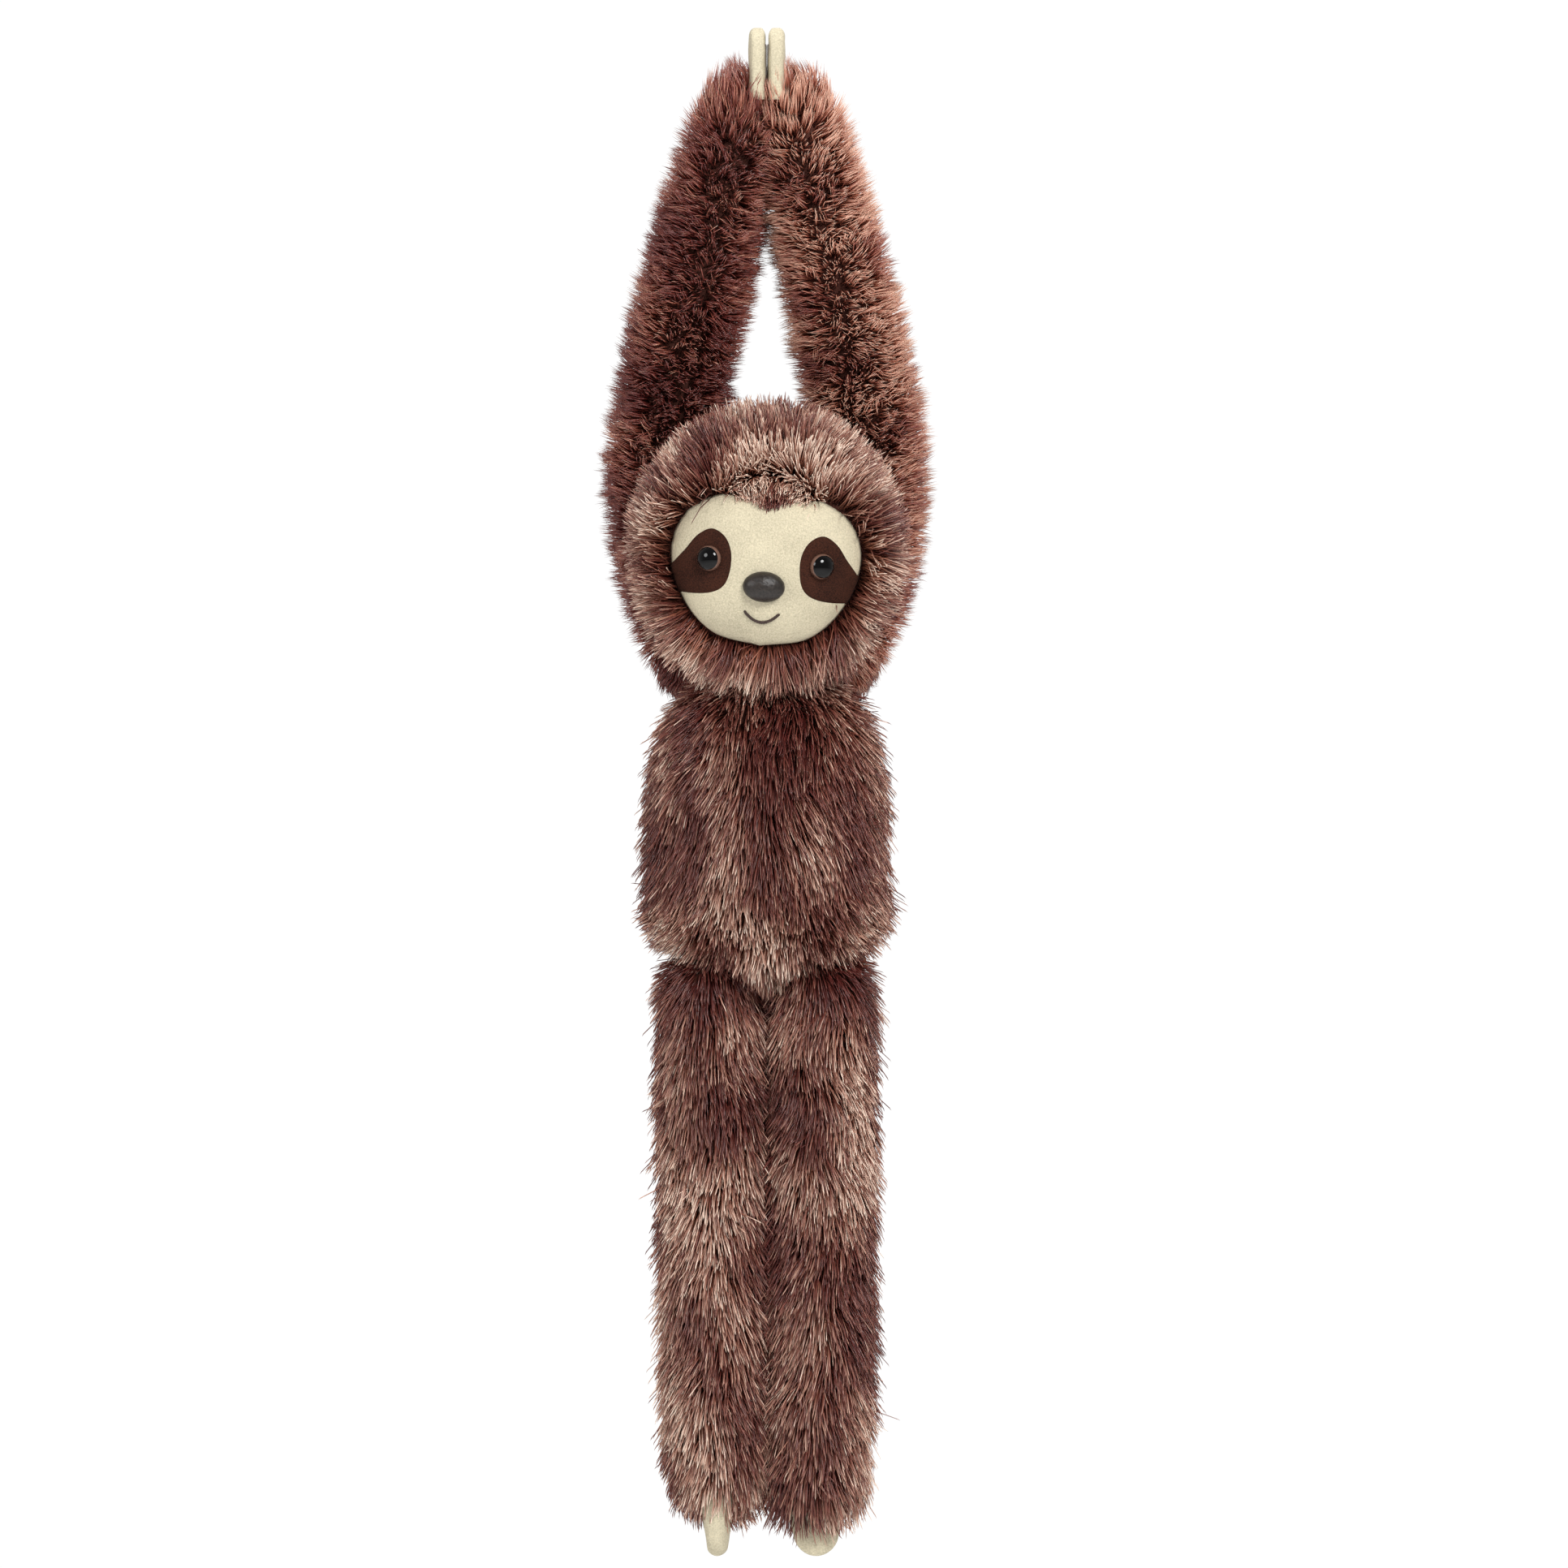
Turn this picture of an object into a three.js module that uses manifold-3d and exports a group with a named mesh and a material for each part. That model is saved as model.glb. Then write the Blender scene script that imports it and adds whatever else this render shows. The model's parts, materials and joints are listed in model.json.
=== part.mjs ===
// A hanging sloth, a long-armed soft toy. Its hands close on each other with
// hook-and-loop pads, so the raised arms make a loop that goes over a rail.
// Millimetres, +Z up, the face looks along -Y, and left is the viewer's left.
// The origin is the crown of the arm loop, where the rail bears.
import * as THREE from 'three';
import { mergeVertices } from 'three/addons/utils/BufferGeometryUtils.js';
import Module from 'manifold-3d';

const wasm = await Module();
wasm.setup();

// ---- Driving dimensions ----

// Fabric, fits and how finely the round shapes are faceted
const GAP = 0.4; // between pieces that touch
const CUT_OVER = 10; // how far a cutting shape runs past what it cuts
const PILE_WALL = 3; // backing and dense roots of the long-pile fabric
const SHORT_WALL = 1.6; // short-pile fabric of the face and the claws
const PATCH_WALL = 0.6;
const LIMB_SIDES = 10;
const TORSO_SIDES = 22;
const BALL_SIDES = 12;

// Torso
const TORSO_WIDTH = 69;
const TORSO_DEPTH = 52;
const TORSO_HEIGHT = 98;
const POUCH_HEIGHT = 24; // pellet pouch in the bottom of the torso
const NECK_RADIUS = 7;
const NECK_FORWARD = 6;
const NECK_RISE = 2; // above the torso's top

// Head, and how it sits on the torso
const HEAD_WIDTH = 75;
const HEAD_DEPTH = 58;
const HEAD_HEIGHT = 80;
const HEAD_FORWARD = 16;
const HEAD_LIFT = 3; // between the torso's top and the head's underside
const HEAD_ROLL = THREE.MathUtils.degToRad(4.2);

// Eyes, nose and mouth
const EYE_RADIUS = 4;
const EYE_DOME = 3; // how far an eye's dome stands on its rim
const EYE_RIM = 0.6;
const EYE_SPREAD = 19.1; // from the middle of the face to an eye
const EYE_DROP = 5.3; // below the middle of the head
const NOSE_WIDTH = 14.4;
const NOSE_HEIGHT = 10.6;
const NOSE_DEPTH = 8;
const NOSE_DROP = 13.8;
const POST_RADIUS = 1.5;
const POST_LENGTH = 7;
const WASHER_RADIUS = 5;
const WASHER_THICKNESS = 1.2;
const WASHER_SETBACK = 1; // behind the face fabric, clear of its curve
const MOUTH_WIDTH = 11.6;
const MOUTH_DIP = 3.2;
const MOUTH_DROP = 25.8;
const THREAD_RADIUS = 0.35;

// Arms
const ARM_RADIUS = 13;
const ARM_ROOT_RADIUS = 9; // where an arm is gathered into the shoulder
const WRIST_RADIUS = 8.5;
const ARM_RISE = 203; // shoulder to wrist, straight up
const CROWN_SHARE = 0.714; // how far up the arms the loop closes
const BOW_SHARE = 0.32; // how far up they are widest apart
const ARM_BOW = 36.5;
const ARM_CLEARANCE = 1; // from the back of the head to the arms
const SHOULDER_SPREAD = 26;
const SHOULDER_DROP = 5; // below the torso's top
const SHOULDER_BACK = 12;
const LOOP_HALF_GAP = 10; // half the gap between the arms at the crown
const CROWN_BACK = 10;
const WRIST_BACK = 2;

// Legs
const LEG_RADIUS = 12.5;
const ANKLE_RADIUS = 10;
const LEG_LENGTH = 178.5; // hip to ankle
const HIP_SPREAD = 19.5;
const HIP_DROP = 5.5; // below the torso's bottom
const ANKLE_SPREAD = 17;

// Joints
const GATHER_RADIUS = 6.5; // gathered root of a limb
const ROOT_STAND = 2.5; // from a limb's pivot to its rounded end
const ROOT_MOUTH = 0.5; // share of a limb's root radius that its cover leaves open
const LIMB_END_GAP = 1; // from a limb's end to the next pivot
const BEND = THREE.MathUtils.degToRad(75); // elbows and knees
const WRIST_STAND = 3; // from a wrist or an ankle to the claw mitt

// Claw mitts and their closure pads
const MITT_WIDTH = 21;
const MITT_TIP_WIDTH = 13;
const MITT_THICKNESS = 4.6;
const MITT_WALL = 1.2;
const HAND_LENGTH = 21.6;
const FOOT_LENGTH = 19.7;
const PAD_SIZE = 12;
const PAD_THICKNESS = 1.2;
const PAD_PLACE = 0.45; // how far along the claws a pad's middle is
const FOOT_TURNS = { left: 80, right: 0 }; // degrees, how far each foot is twisted

// ---- Places that follow from them ----

const shoulderZ = -CROWN_SHARE * ARM_RISE;
const torsoTop = shoulderZ + SHOULDER_DROP;
const torsoBottom = torsoTop - TORSO_HEIGHT;
const headHalf = new THREE.Vector3(HEAD_WIDTH, HEAD_DEPTH, HEAD_HEIGHT).multiplyScalar(0.5);
const headCentre = new THREE.Vector3(0, -HEAD_FORWARD, torsoTop + HEAD_LIFT + headHalf.z);
const neckPivot = new THREE.Vector3(0, -NECK_FORWARD, torsoTop + NECK_RISE);
const armBack = headCentre.y + headHalf.y + ARM_RADIUS + ARM_CLEARANCE;
const bendGap = (radius) => radius * (1 / Math.cos(BEND / 2) - 1);

// ---- Materials ----

const finish = (color, roughness) => new THREE.MeshStandardMaterial({ color, roughness });
const materials = {
  pile: () => finish(0x7a5143, 0.95),
  cream: () => finish(0xe6dcbe, 0.9),
  patch: () => finish(0x3c221c, 0.9),
  filling: () => finish(0xf2f1ec, 1),
  pellets: () => finish(0xdcd8cc, 0.9),
  eye: () => finish(0x0b0908, 0.08),
  nose: () => finish(0x3a322e, 0.55),
  washer: () => finish(0xeeeeea, 0.5),
  thread: () => finish(0x2c1b16, 0.8),
  pad: () => finish(0x4a423c, 0.9),
};

// ---- Helpers ----

// A three.js geometry as a solid that can be joined and cut.
function solid(geometry) {
  const bare = new THREE.BufferGeometry();
  bare.setAttribute('position', geometry.getAttribute('position'));
  bare.setIndex(geometry.getIndex());
  const merged = mergeVertices(bare, 1e-3);
  const index = merged.getIndex();
  const triVerts = [];
  for (let i = 0; i < index.count; i += 3) {
    const corner = [index.getX(i), index.getX(i + 1), index.getX(i + 2)];
    if (new Set(corner).size === 3) triVerts.push(...corner);
  }
  return new wasm.Manifold(new wasm.Mesh({
    numProp: 3,
    vertProperties: merged.getAttribute('position').array,
    triVerts: new Uint32Array(triVerts),
  }));
}

// A named mesh from a solid.
function piece(name, material, made) {
  const mesh = made.getMesh();
  const geometry = new THREE.BufferGeometry();
  geometry.setAttribute('position', new THREE.BufferAttribute(mesh.vertProperties, 3));
  geometry.setIndex(new THREE.BufferAttribute(mesh.triVerts, 1));
  geometry.computeVertexNormals();
  const result = new THREE.Mesh(geometry, materials[material]());
  result.name = name;
  return result;
}

const ball = (radius, centre) => solid(
  new THREE.SphereGeometry(radius, BALL_SIDES, BALL_SIDES / 2)
    .translate(centre.x, centre.y, centre.z),
);

// An outline runs from its lowest point on the axis outwards and up. This moves it
// towards the inside, for the inside of a cover or for what fills it.
function inset(outline, by) {
  return outline.map((point, i) => {
    const onAxis = point.x < 1e-6;
    if (onAxis) return new THREE.Vector2(0, point.y + (i === 0 ? by : -by));
    const before = outline[Math.max(i - 1, 0)];
    const after = outline[Math.min(i + 1, outline.length - 1)];
    const along = after.clone().sub(before).normalize();
    return new THREE.Vector2(point.x - along.y * by, point.y + along.x * by);
  });
}

// The closed outline of a cover with this outer outline, open at its upper end.
const coverOutline = (outline, wall) => [...outline, ...inset(outline, wall).reverse()];

// The outline of the filling that fits inside that cover.
function fillingOutline(outline, wall) {
  const inner = inset(outline, wall + GAP);
  return [...inner, new THREE.Vector2(0, inner.at(-1).y)];
}

// A round limb's outer outline from its tip up to a mouth in its root end. Between these
// shares of its length it has its full radius.
const fullShares = [0.3, 0.6];

function limbOutline(length, tipRadius, rootRadius, mouth) {
  const bodyRadius = Math.max(tipRadius, rootRadius);
  const outline = [];
  const capSteps = 3;
  for (let i = 0; i <= capSteps; i++) {
    const turn = (i / capSteps) * Math.PI / 2;
    outline.push(new THREE.Vector2(
      tipRadius * Math.sin(turn), tipRadius * (1 - Math.cos(turn))));
  }
  const rootCentre = length - rootRadius;
  const span = rootCentre - tipRadius;
  for (const share of fullShares) {
    outline.push(new THREE.Vector2(bodyRadius, tipRadius + span * share));
  }
  const lastTurn = Math.acos(mouth / rootRadius);
  for (let i = 0; i <= 2; i++) {
    const turn = (i / 2) * lastTurn;
    outline.push(new THREE.Vector2(
      rootRadius * Math.cos(turn), rootCentre + rootRadius * Math.sin(turn)));
  }
  return outline;
}

// An outline turned into a solid and laid along a path. Its lower end is at the
// path length tipAt, and its upper end lies towards the path's start.
function alongPath(outline, path, tipAt) {
  const geometry = new THREE.LatheGeometry(outline, LIMB_SIDES);
  const spots = geometry.getAttribute('position');
  const total = path.getLength();
  for (let i = 0; i < spots.count; i++) {
    const share = THREE.MathUtils.clamp((tipAt - spots.getY(i)) / total, 0, 1);
    const tangent = path.getTangentAt(share).negate();
    const depth = new THREE.Vector3(0, 1, 0).addScaledVector(tangent, -tangent.y).normalize();
    const across = tangent.clone().cross(depth);
    const spot = path.getPointAt(share)
      .addScaledVector(across, spots.getX(i))
      .addScaledVector(depth, spots.getZ(i));
    spots.setXYZ(i, spot.x, spot.y, spot.z);
  }
  return solid(geometry);
}

// One part of a limb: its fur cover and its filling, between two lengths on the path.
function limbPart(name, path, rootAt, tipAt, radii, dimple) {
  const outline = limbOutline(tipAt - rootAt, radii.tip, radii.root, radii.root * ROOT_MOUTH);
  let cover = alongPath(coverOutline(outline, PILE_WALL), path, tipAt);
  let filling = alongPath(fillingOutline(outline, PILE_WALL), path, tipAt);
  if (dimple) {
    cover = cover.subtract(dimple);
    filling = filling.subtract(dimple);
  }
  return [
    piece(`${name}_cover`, 'pile', cover),
    piece(`${name}_stuffing`, 'filling', filling),
  ];
}

// The gathered root of a limb, a soft ball at its pivot, and the room that it needs.
const origin = new THREE.Vector3();
const gather = (name) => piece(name, 'pile', ball(GATHER_RADIUS, origin));
const gatherRoom = ball(GATHER_RADIUS + GAP, origin);

// ---- Torso ----

// Share of the half width at each share of the height, from the bottom up.
const torsoShape = [
  [0, 0], [0.42, 0.02], [0.78, 0.08], [0.95, 0.18], [1, 0.34],
  [0.98, 0.56], [0.92, 0.73], [0.78, 0.86], [0.53, 0.95], [0.26, 1],
];
const torsoOutline = torsoShape.map(([width, height]) => (
  new THREE.Vector2(width * TORSO_WIDTH / 2, height * TORSO_HEIGHT)));

function torsoSolid(outline) {
  const geometry = new THREE.LatheGeometry(outline, TORSO_SIDES);
  geometry.rotateX(Math.PI / 2).scale(1, TORSO_DEPTH / TORSO_WIDTH, 1);
  return solid(geometry.translate(0, 0, torsoBottom));
}

function halfSpace(z, above) {
  const size = 4 * TORSO_HEIGHT;
  const box = new THREE.BoxGeometry(size, size, size);
  return solid(box.translate(0, 0, z + (above ? size : -size) / 2));
}

function makeTorso() {
  const neckRoom = ball(NECK_RADIUS + GAP, neckPivot);
  const filling = torsoSolid(fillingOutline(torsoOutline, PILE_WALL)).subtract(neckRoom);
  const split = torsoBottom + POUCH_HEIGHT;
  return new THREE.Group().add(
    piece('torso_cover', 'pile',
      torsoSolid(coverOutline(torsoOutline, PILE_WALL)).subtract(neckRoom)),
    piece('torso_stuffing', 'filling', filling.intersect(halfSpace(split + GAP, true))),
    piece('pellet_pouch', 'pellets', filling.intersect(halfSpace(split, false))),
    piece('neck_gather', 'pile', ball(NECK_RADIUS, neckPivot)),
  );
}

// ---- Head, in its own frame with the origin in its middle ----

const headBall = (grow) => solid(
  new THREE.SphereGeometry(1, 22, 14).rotateX(Math.PI / 2)
    .scale(headHalf.x + grow, headHalf.y + grow, headHalf.z + grow),
);

// Where the front of the head is at x and z, lifted off it, and the way out there.
function onFace(x, z, lift) {
  const y = -headHalf.y * Math.sqrt(1 - (x / headHalf.x) ** 2 - (z / headHalf.z) ** 2);
  const spot = new THREE.Vector3(x, y, z);
  const out = spot.clone().divide(headHalf).divide(headHalf).normalize();
  return { out, spot: spot.addScaledVector(out, lift) };
}

// A solid that is made around +Y, set on the face with +Y pointing out.
function setOnFace(geometry, x, z, lift) {
  const { out, spot } = onFace(x, z, lift);
  const turn = new THREE.Quaternion().setFromUnitVectors(new THREE.Vector3(0, 1, 0), out);
  geometry.applyQuaternion(turn);
  return solid(geometry.translate(spot.x, spot.y, spot.z));
}

// An outline in x and z, as a prism that runs through the front of the head.
function facePrism(points) {
  const depth = headHalf.y + CUT_OVER;
  const geometry = new THREE.ExtrudeGeometry(new THREE.Shape(points),
    { depth, bevelEnabled: false, steps: 1 });
  return solid(geometry.rotateX(Math.PI / 2));
}

// Half of the face panel's edge, from the chin up to the peak of fur on the brow, as
// shares of the head's half width and half height.
const faceHalf = [
  [0, -0.862], [0.44, -0.775], [0.741, -0.5], [0.888, -0.1], [0.787, 0.237], [0.48, 0.425],
  [0.2, 0.405], [0, 0.335],
].map(([x, z]) => new THREE.Vector2(x * headHalf.x, z * headHalf.z));
const faceMiddle = new THREE.Vector2(0, -0.2 * headHalf.z);

function faceEdge(grow) {
  const right = new THREE.SplineCurve(faceHalf).getPoints(14);
  const left = right.slice(1, -1).reverse().map((p) => new THREE.Vector2(-p.x, p.y));
  return [...right, ...left].map((p) => {
    const out = p.clone().sub(faceMiddle);
    return p.clone().add(out.setLength(grow));
  });
}

// The patch around an eye, a drop that runs down and out to the side of the face. Towards
// the nose its points are distances from the eye, and outwards they are shares of the way
// to the side of the face.
const faceSide = Math.max(...faceHalf.map((p) => p.x));
const patchInner = [[0, 10.3], [-5, 7.2], [-7.3, 0.5], [-5.9, -8.2], [-0.5, -11.9]];
const patchOuter = [[0.69, -12.1], [1.06, -9], [1.06, -4.6], [0.65, 2.7], [0.37, 7.8]];

function patchEdge(side) {
  const corners = [
    ...patchInner.map(([x, z]) => [EYE_SPREAD + x, z]),
    ...patchOuter.map(([share, z]) => [EYE_SPREAD + share * (faceSide - EYE_SPREAD), z]),
  ].map(([x, z]) => new THREE.Vector2(side * x, z - EYE_DROP));
  const loop = new THREE.SplineCurve([...corners, corners[0]]).getPoints(28).slice(0, -1);
  return side > 0 ? loop : loop.reverse();
}

const post = (radius, lift, x, z) => setOnFace(
  new THREE.CylinderGeometry(radius, radius, POST_LENGTH + lift, BALL_SIDES)
    .translate(0, (lift - POST_LENGTH) / 2, 0), x, z, 0);

const washerLift = -(SHORT_WALL + WASHER_SETBACK + WASHER_THICKNESS / 2);

function washer(name, x, z) {
  const ring = setOnFace(
    new THREE.CylinderGeometry(WASHER_RADIUS, WASHER_RADIUS, WASHER_THICKNESS, BALL_SIDES),
    x, z, washerLift);
  return piece(name, 'washer', ring.subtract(post(POST_RADIUS + GAP, 0, x, z)));
}

const eyeLift = GAP + PATCH_WALL + GAP;
const eyeDome = (() => {
  const outline = [[0, -POST_LENGTH], [POST_RADIUS, -POST_LENGTH], [POST_RADIUS, 0],
    [EYE_RADIUS, 0]].map(([x, y]) => new THREE.Vector2(x, y));
  for (let i = 0; i <= 4; i++) {
    const turn = (i / 4) * Math.PI / 2;
    outline.push(new THREE.Vector2(
      EYE_RADIUS * Math.cos(turn), EYE_RIM + EYE_DOME * Math.sin(turn)));
  }
  return outline;
})();

function makeEye(name, side) {
  const geometry = new THREE.LatheGeometry(eyeDome, BALL_SIDES);
  return piece(name, 'eye', setOnFace(geometry, side * EYE_SPREAD, -EYE_DROP, eyeLift));
}

function makeNose() {
  const dome = new THREE.SphereGeometry(1, 16, 10)
    .scale(NOSE_WIDTH / 2, NOSE_DEPTH / 2, NOSE_HEIGHT / 2);
  const proud = setOnFace(dome, 0, -NOSE_DROP, NOSE_DEPTH / 4).subtract(headBall(GAP));
  return piece('nose', 'nose', proud.add(post(POST_RADIUS, NOSE_DEPTH / 4, 0, -NOSE_DROP)));
}

function makeMouth() {
  const stitches = [];
  for (let i = -3; i <= 3; i++) {
    const share = i / 3;
    const z = -MOUTH_DROP + MOUTH_DIP * share ** 2;
    stitches.push(onFace(share * MOUTH_WIDTH / 2, z, GAP + THREAD_RADIUS).spot);
  }
  const section = new THREE.Shape().absarc(0, 0, THREAD_RADIUS, 0, 2 * Math.PI);
  const geometry = new THREE.ExtrudeGeometry(section, {
    steps: 8,
    curveSegments: 3,
    bevelEnabled: false,
    extrudePath: new THREE.CatmullRomCurve3(stitches),
  });
  return piece('mouth_stitching', 'thread', solid(geometry));
}

function makeHead() {
  const head = new THREE.Group();
  head.position.copy(headCentre);
  head.rotation.y = HEAD_ROLL;
  head.updateMatrixWorld();
  const neckRoom = ball(NECK_RADIUS + GAP, head.worldToLocal(neckPivot.clone()));
  const posts = [[-EYE_SPREAD, -EYE_DROP], [EYE_SPREAD, -EYE_DROP], [0, -NOSE_DROP]];

  let face = headBall(0).subtract(headBall(-SHORT_WALL)).intersect(facePrism(faceEdge(-GAP)));
  let stuffing = headBall(-PILE_WALL - GAP).subtract(neckRoom);
  for (const [x, z] of posts) {
    face = face.subtract(post(POST_RADIUS + GAP, 2, x, z));
    stuffing = stuffing.subtract(post(WASHER_RADIUS + GAP, 2, x, z))
      .subtract(post(POST_RADIUS + GAP, 2, x, z));
  }
  head.add(
    piece('head_cover', 'pile', headBall(0).subtract(headBall(-PILE_WALL))
      .subtract(facePrism(faceEdge(0))).subtract(neckRoom)),
    piece('face_panel', 'cream', face),
    piece('head_stuffing', 'filling', stuffing),
    makeNose(),
    washer('nose_washer', 0, -NOSE_DROP),
    makeMouth(),
  );
  for (const [name, side] of [['left', -1], ['right', 1]]) {
    const patch = headBall(GAP + PATCH_WALL).subtract(headBall(GAP))
      .intersect(facePrism(patchEdge(side))).intersect(facePrism(faceEdge(-2 * GAP)))
      .subtract(post(POST_RADIUS + GAP, 2, side * EYE_SPREAD, -EYE_DROP));
    head.add(
      piece(`${name}_eye_patch`, 'patch', patch),
      makeEye(`${name}_eye`, side),
      washer(`${name}_eye_washer`, side * EYE_SPREAD, -EYE_DROP),
    );
  }
  return head;
}

// ---- Claw mitts, made with the wrist at the origin and the claws along +Z ----

function mittPrism(length, shrink, start) {
  const root = MITT_WIDTH / 2 - shrink;
  const tip = MITT_TIP_WIDTH / 2 - shrink;
  const end = length - shrink;
  const round = tip * 0.8;
  const outline = new THREE.Shape();
  outline.moveTo(-root, start);
  outline.lineTo(root, start);
  outline.lineTo(tip, end - round);
  outline.quadraticCurveTo(tip * 0.9, end, 0, end);
  outline.quadraticCurveTo(-tip * 0.9, end, -tip, end - round);
  const depth = MITT_THICKNESS - 2 * shrink;
  const geometry = new THREE.ExtrudeGeometry(outline,
    { depth, bevelEnabled: false, curveSegments: 4 });
  return solid(geometry.translate(0, 0, -depth / 2).rotateX(Math.PI / 2));
}

function makeMitt(name, length) {
  const cover = mittPrism(length, 0, 0).subtract(mittPrism(length, MITT_WALL, -1));
  return new THREE.Group().add(
    piece(`${name}_mitt`, 'cream', cover),
    piece(`${name}_batting`, 'filling', mittPrism(length, MITT_WALL + GAP, 0)),
  );
}

// ---- Limbs ----

function makeArm(name, side) {
  const arm = new THREE.Group();
  arm.position.set(side * SHOULDER_SPREAD, SHOULDER_BACK, shoulderZ);
  const spot = (x, y, share) => new THREE.Vector3(
    side * (x - SHOULDER_SPREAD), y - SHOULDER_BACK, share * ARM_RISE);
  const path = new THREE.CatmullRomCurve3([
    spot(SHOULDER_SPREAD, SHOULDER_BACK, 0),
    spot(ARM_BOW, armBack, BOW_SHARE),
    spot(ARM_RADIUS + LOOP_HALF_GAP, CROWN_BACK, CROWN_SHARE),
    spot(WRIST_RADIUS, WRIST_BACK, 1),
  ]);
  const length = path.getLength();
  const elbow = length / 2;
  const gap = bendGap(ARM_RADIUS);
  arm.add(
    gather(`${name}_arm_gather`),
    ...limbPart(`${name}_upper_arm`, path, ROOT_STAND, elbow - gap,
      { tip: ARM_RADIUS, root: ARM_ROOT_RADIUS }, gatherRoom),
    ...limbPart(`${name}_forearm`, path, elbow + gap, length - LIMB_END_GAP,
      { tip: WRIST_RADIUS, root: ARM_RADIUS }),
  );

  // The palms face each other across the middle plane, with the pads between them.
  const padMiddle = GAP / 2 + PAD_THICKNESS / 2;
  const palm = GAP / 2 + PAD_THICKNESS + GAP;
  const hand = makeMitt(`${name}_hand`, HAND_LENGTH);
  hand.rotation.z = Math.PI / 2;
  hand.position.set(palm + MITT_THICKNESS / 2, WRIST_BACK, ARM_RISE + WRIST_STAND)
    .multiply(new THREE.Vector3(side, 1, 1))
    .sub(new THREE.Vector3(side * SHOULDER_SPREAD, SHOULDER_BACK, 0));
  const pad = piece(side < 0 ? 'hook_pad' : 'loop_pad', 'pad',
    solid(new THREE.BoxGeometry(PAD_THICKNESS, PAD_SIZE, PAD_SIZE)));
  pad.position.set(side * (padMiddle - SHOULDER_SPREAD), WRIST_BACK - SHOULDER_BACK,
    ARM_RISE + WRIST_STAND + HAND_LENGTH * PAD_PLACE);
  return arm.add(hand, pad);
}

function makeLeg(name, side) {
  const leg = new THREE.Group();
  leg.position.set(side * HIP_SPREAD, 0, torsoBottom - HIP_DROP);
  const lean = side * (ANKLE_SPREAD - HIP_SPREAD);
  const path = new THREE.LineCurve3(origin, new THREE.Vector3(lean, 0, -LEG_LENGTH));
  const length = path.getLength();
  const knee = length / 2;
  const gap = bendGap(LEG_RADIUS);
  leg.add(
    gather(`${name}_leg_gather`),
    ...limbPart(`${name}_thigh`, path, ROOT_STAND, knee - gap,
      { tip: LEG_RADIUS, root: LEG_RADIUS }, gatherRoom),
    ...limbPart(`${name}_shin`, path, knee + gap, length - LIMB_END_GAP,
      { tip: ANKLE_RADIUS, root: LEG_RADIUS }),
  );
  const foot = makeMitt(`${name}_foot`, FOOT_LENGTH);
  foot.rotation.set(0, Math.PI, THREE.MathUtils.degToRad(FOOT_TURNS[name]));
  foot.position.set(lean, 0, -LEG_LENGTH - WRIST_STAND);
  return leg.add(foot);
}

// ---- The whole toy ----

const sloth = new THREE.Group();
sloth.add(makeTorso(), makeHead());
for (const [name, side] of [['left', -1], ['right', 1]]) {
  sloth.add(makeArm(name, side), makeLeg(name, side));
}

export default sloth;
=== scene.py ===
"""A hanging long-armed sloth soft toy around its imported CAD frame, in metres.

The fur is real geometry: every strand is a closed, tapered spike that is rooted in a
fabric skin. Each skin stands for its CAD cover, and the strands lean the way the pile lies.
Left and right are the viewer's, facing the toy's face.
"""
import json
import math

import bpy
import numpy as np
from mathutils import Matrix, Vector, kdtree, noise


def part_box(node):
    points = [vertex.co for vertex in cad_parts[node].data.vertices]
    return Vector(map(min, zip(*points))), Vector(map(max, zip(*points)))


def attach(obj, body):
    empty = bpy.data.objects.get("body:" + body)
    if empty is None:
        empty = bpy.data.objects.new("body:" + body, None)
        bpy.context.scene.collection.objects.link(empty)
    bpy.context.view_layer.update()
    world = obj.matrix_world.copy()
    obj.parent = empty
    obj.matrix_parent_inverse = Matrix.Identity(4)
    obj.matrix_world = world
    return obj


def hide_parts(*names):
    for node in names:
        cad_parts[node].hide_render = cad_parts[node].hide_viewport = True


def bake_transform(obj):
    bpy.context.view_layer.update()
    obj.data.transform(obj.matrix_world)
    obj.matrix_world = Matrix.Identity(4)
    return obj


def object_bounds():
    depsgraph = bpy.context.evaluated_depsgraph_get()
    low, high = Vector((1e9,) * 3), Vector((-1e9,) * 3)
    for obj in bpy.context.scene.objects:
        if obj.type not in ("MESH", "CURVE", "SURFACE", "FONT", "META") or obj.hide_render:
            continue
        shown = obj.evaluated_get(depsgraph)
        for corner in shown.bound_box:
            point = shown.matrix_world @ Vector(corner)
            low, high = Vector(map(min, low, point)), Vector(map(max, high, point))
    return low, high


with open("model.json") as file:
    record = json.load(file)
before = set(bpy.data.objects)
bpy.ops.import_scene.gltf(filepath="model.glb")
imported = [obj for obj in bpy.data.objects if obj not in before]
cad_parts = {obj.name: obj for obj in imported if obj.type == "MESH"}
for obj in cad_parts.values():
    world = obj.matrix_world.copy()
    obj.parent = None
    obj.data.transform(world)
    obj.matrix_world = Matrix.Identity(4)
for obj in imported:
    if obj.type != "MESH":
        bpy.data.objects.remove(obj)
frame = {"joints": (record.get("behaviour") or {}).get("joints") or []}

MM = 0.001
SIDES = {"left": -1, "right": 1}
UP = np.array([0.0, 0.0, 1.0])
FRONT = np.array([0.0, -1.0, 0.0])
cad_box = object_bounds()
joints = {j["name"]: j for j in frame["joints"]}


def unit(v):
    """Vectors of length one, along the last axis."""
    v = np.asarray(v, float)
    return v / np.maximum(np.linalg.norm(v, axis=-1, keepdims=True), 1e-12)


def middle(node):
    low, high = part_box(node)
    return np.array((low + high) / 2)


def size_of(node):
    low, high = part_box(node)
    return np.array(high - low)


def pivot(joint):
    return np.array(joints[joint]["pos_m"], float)


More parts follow.
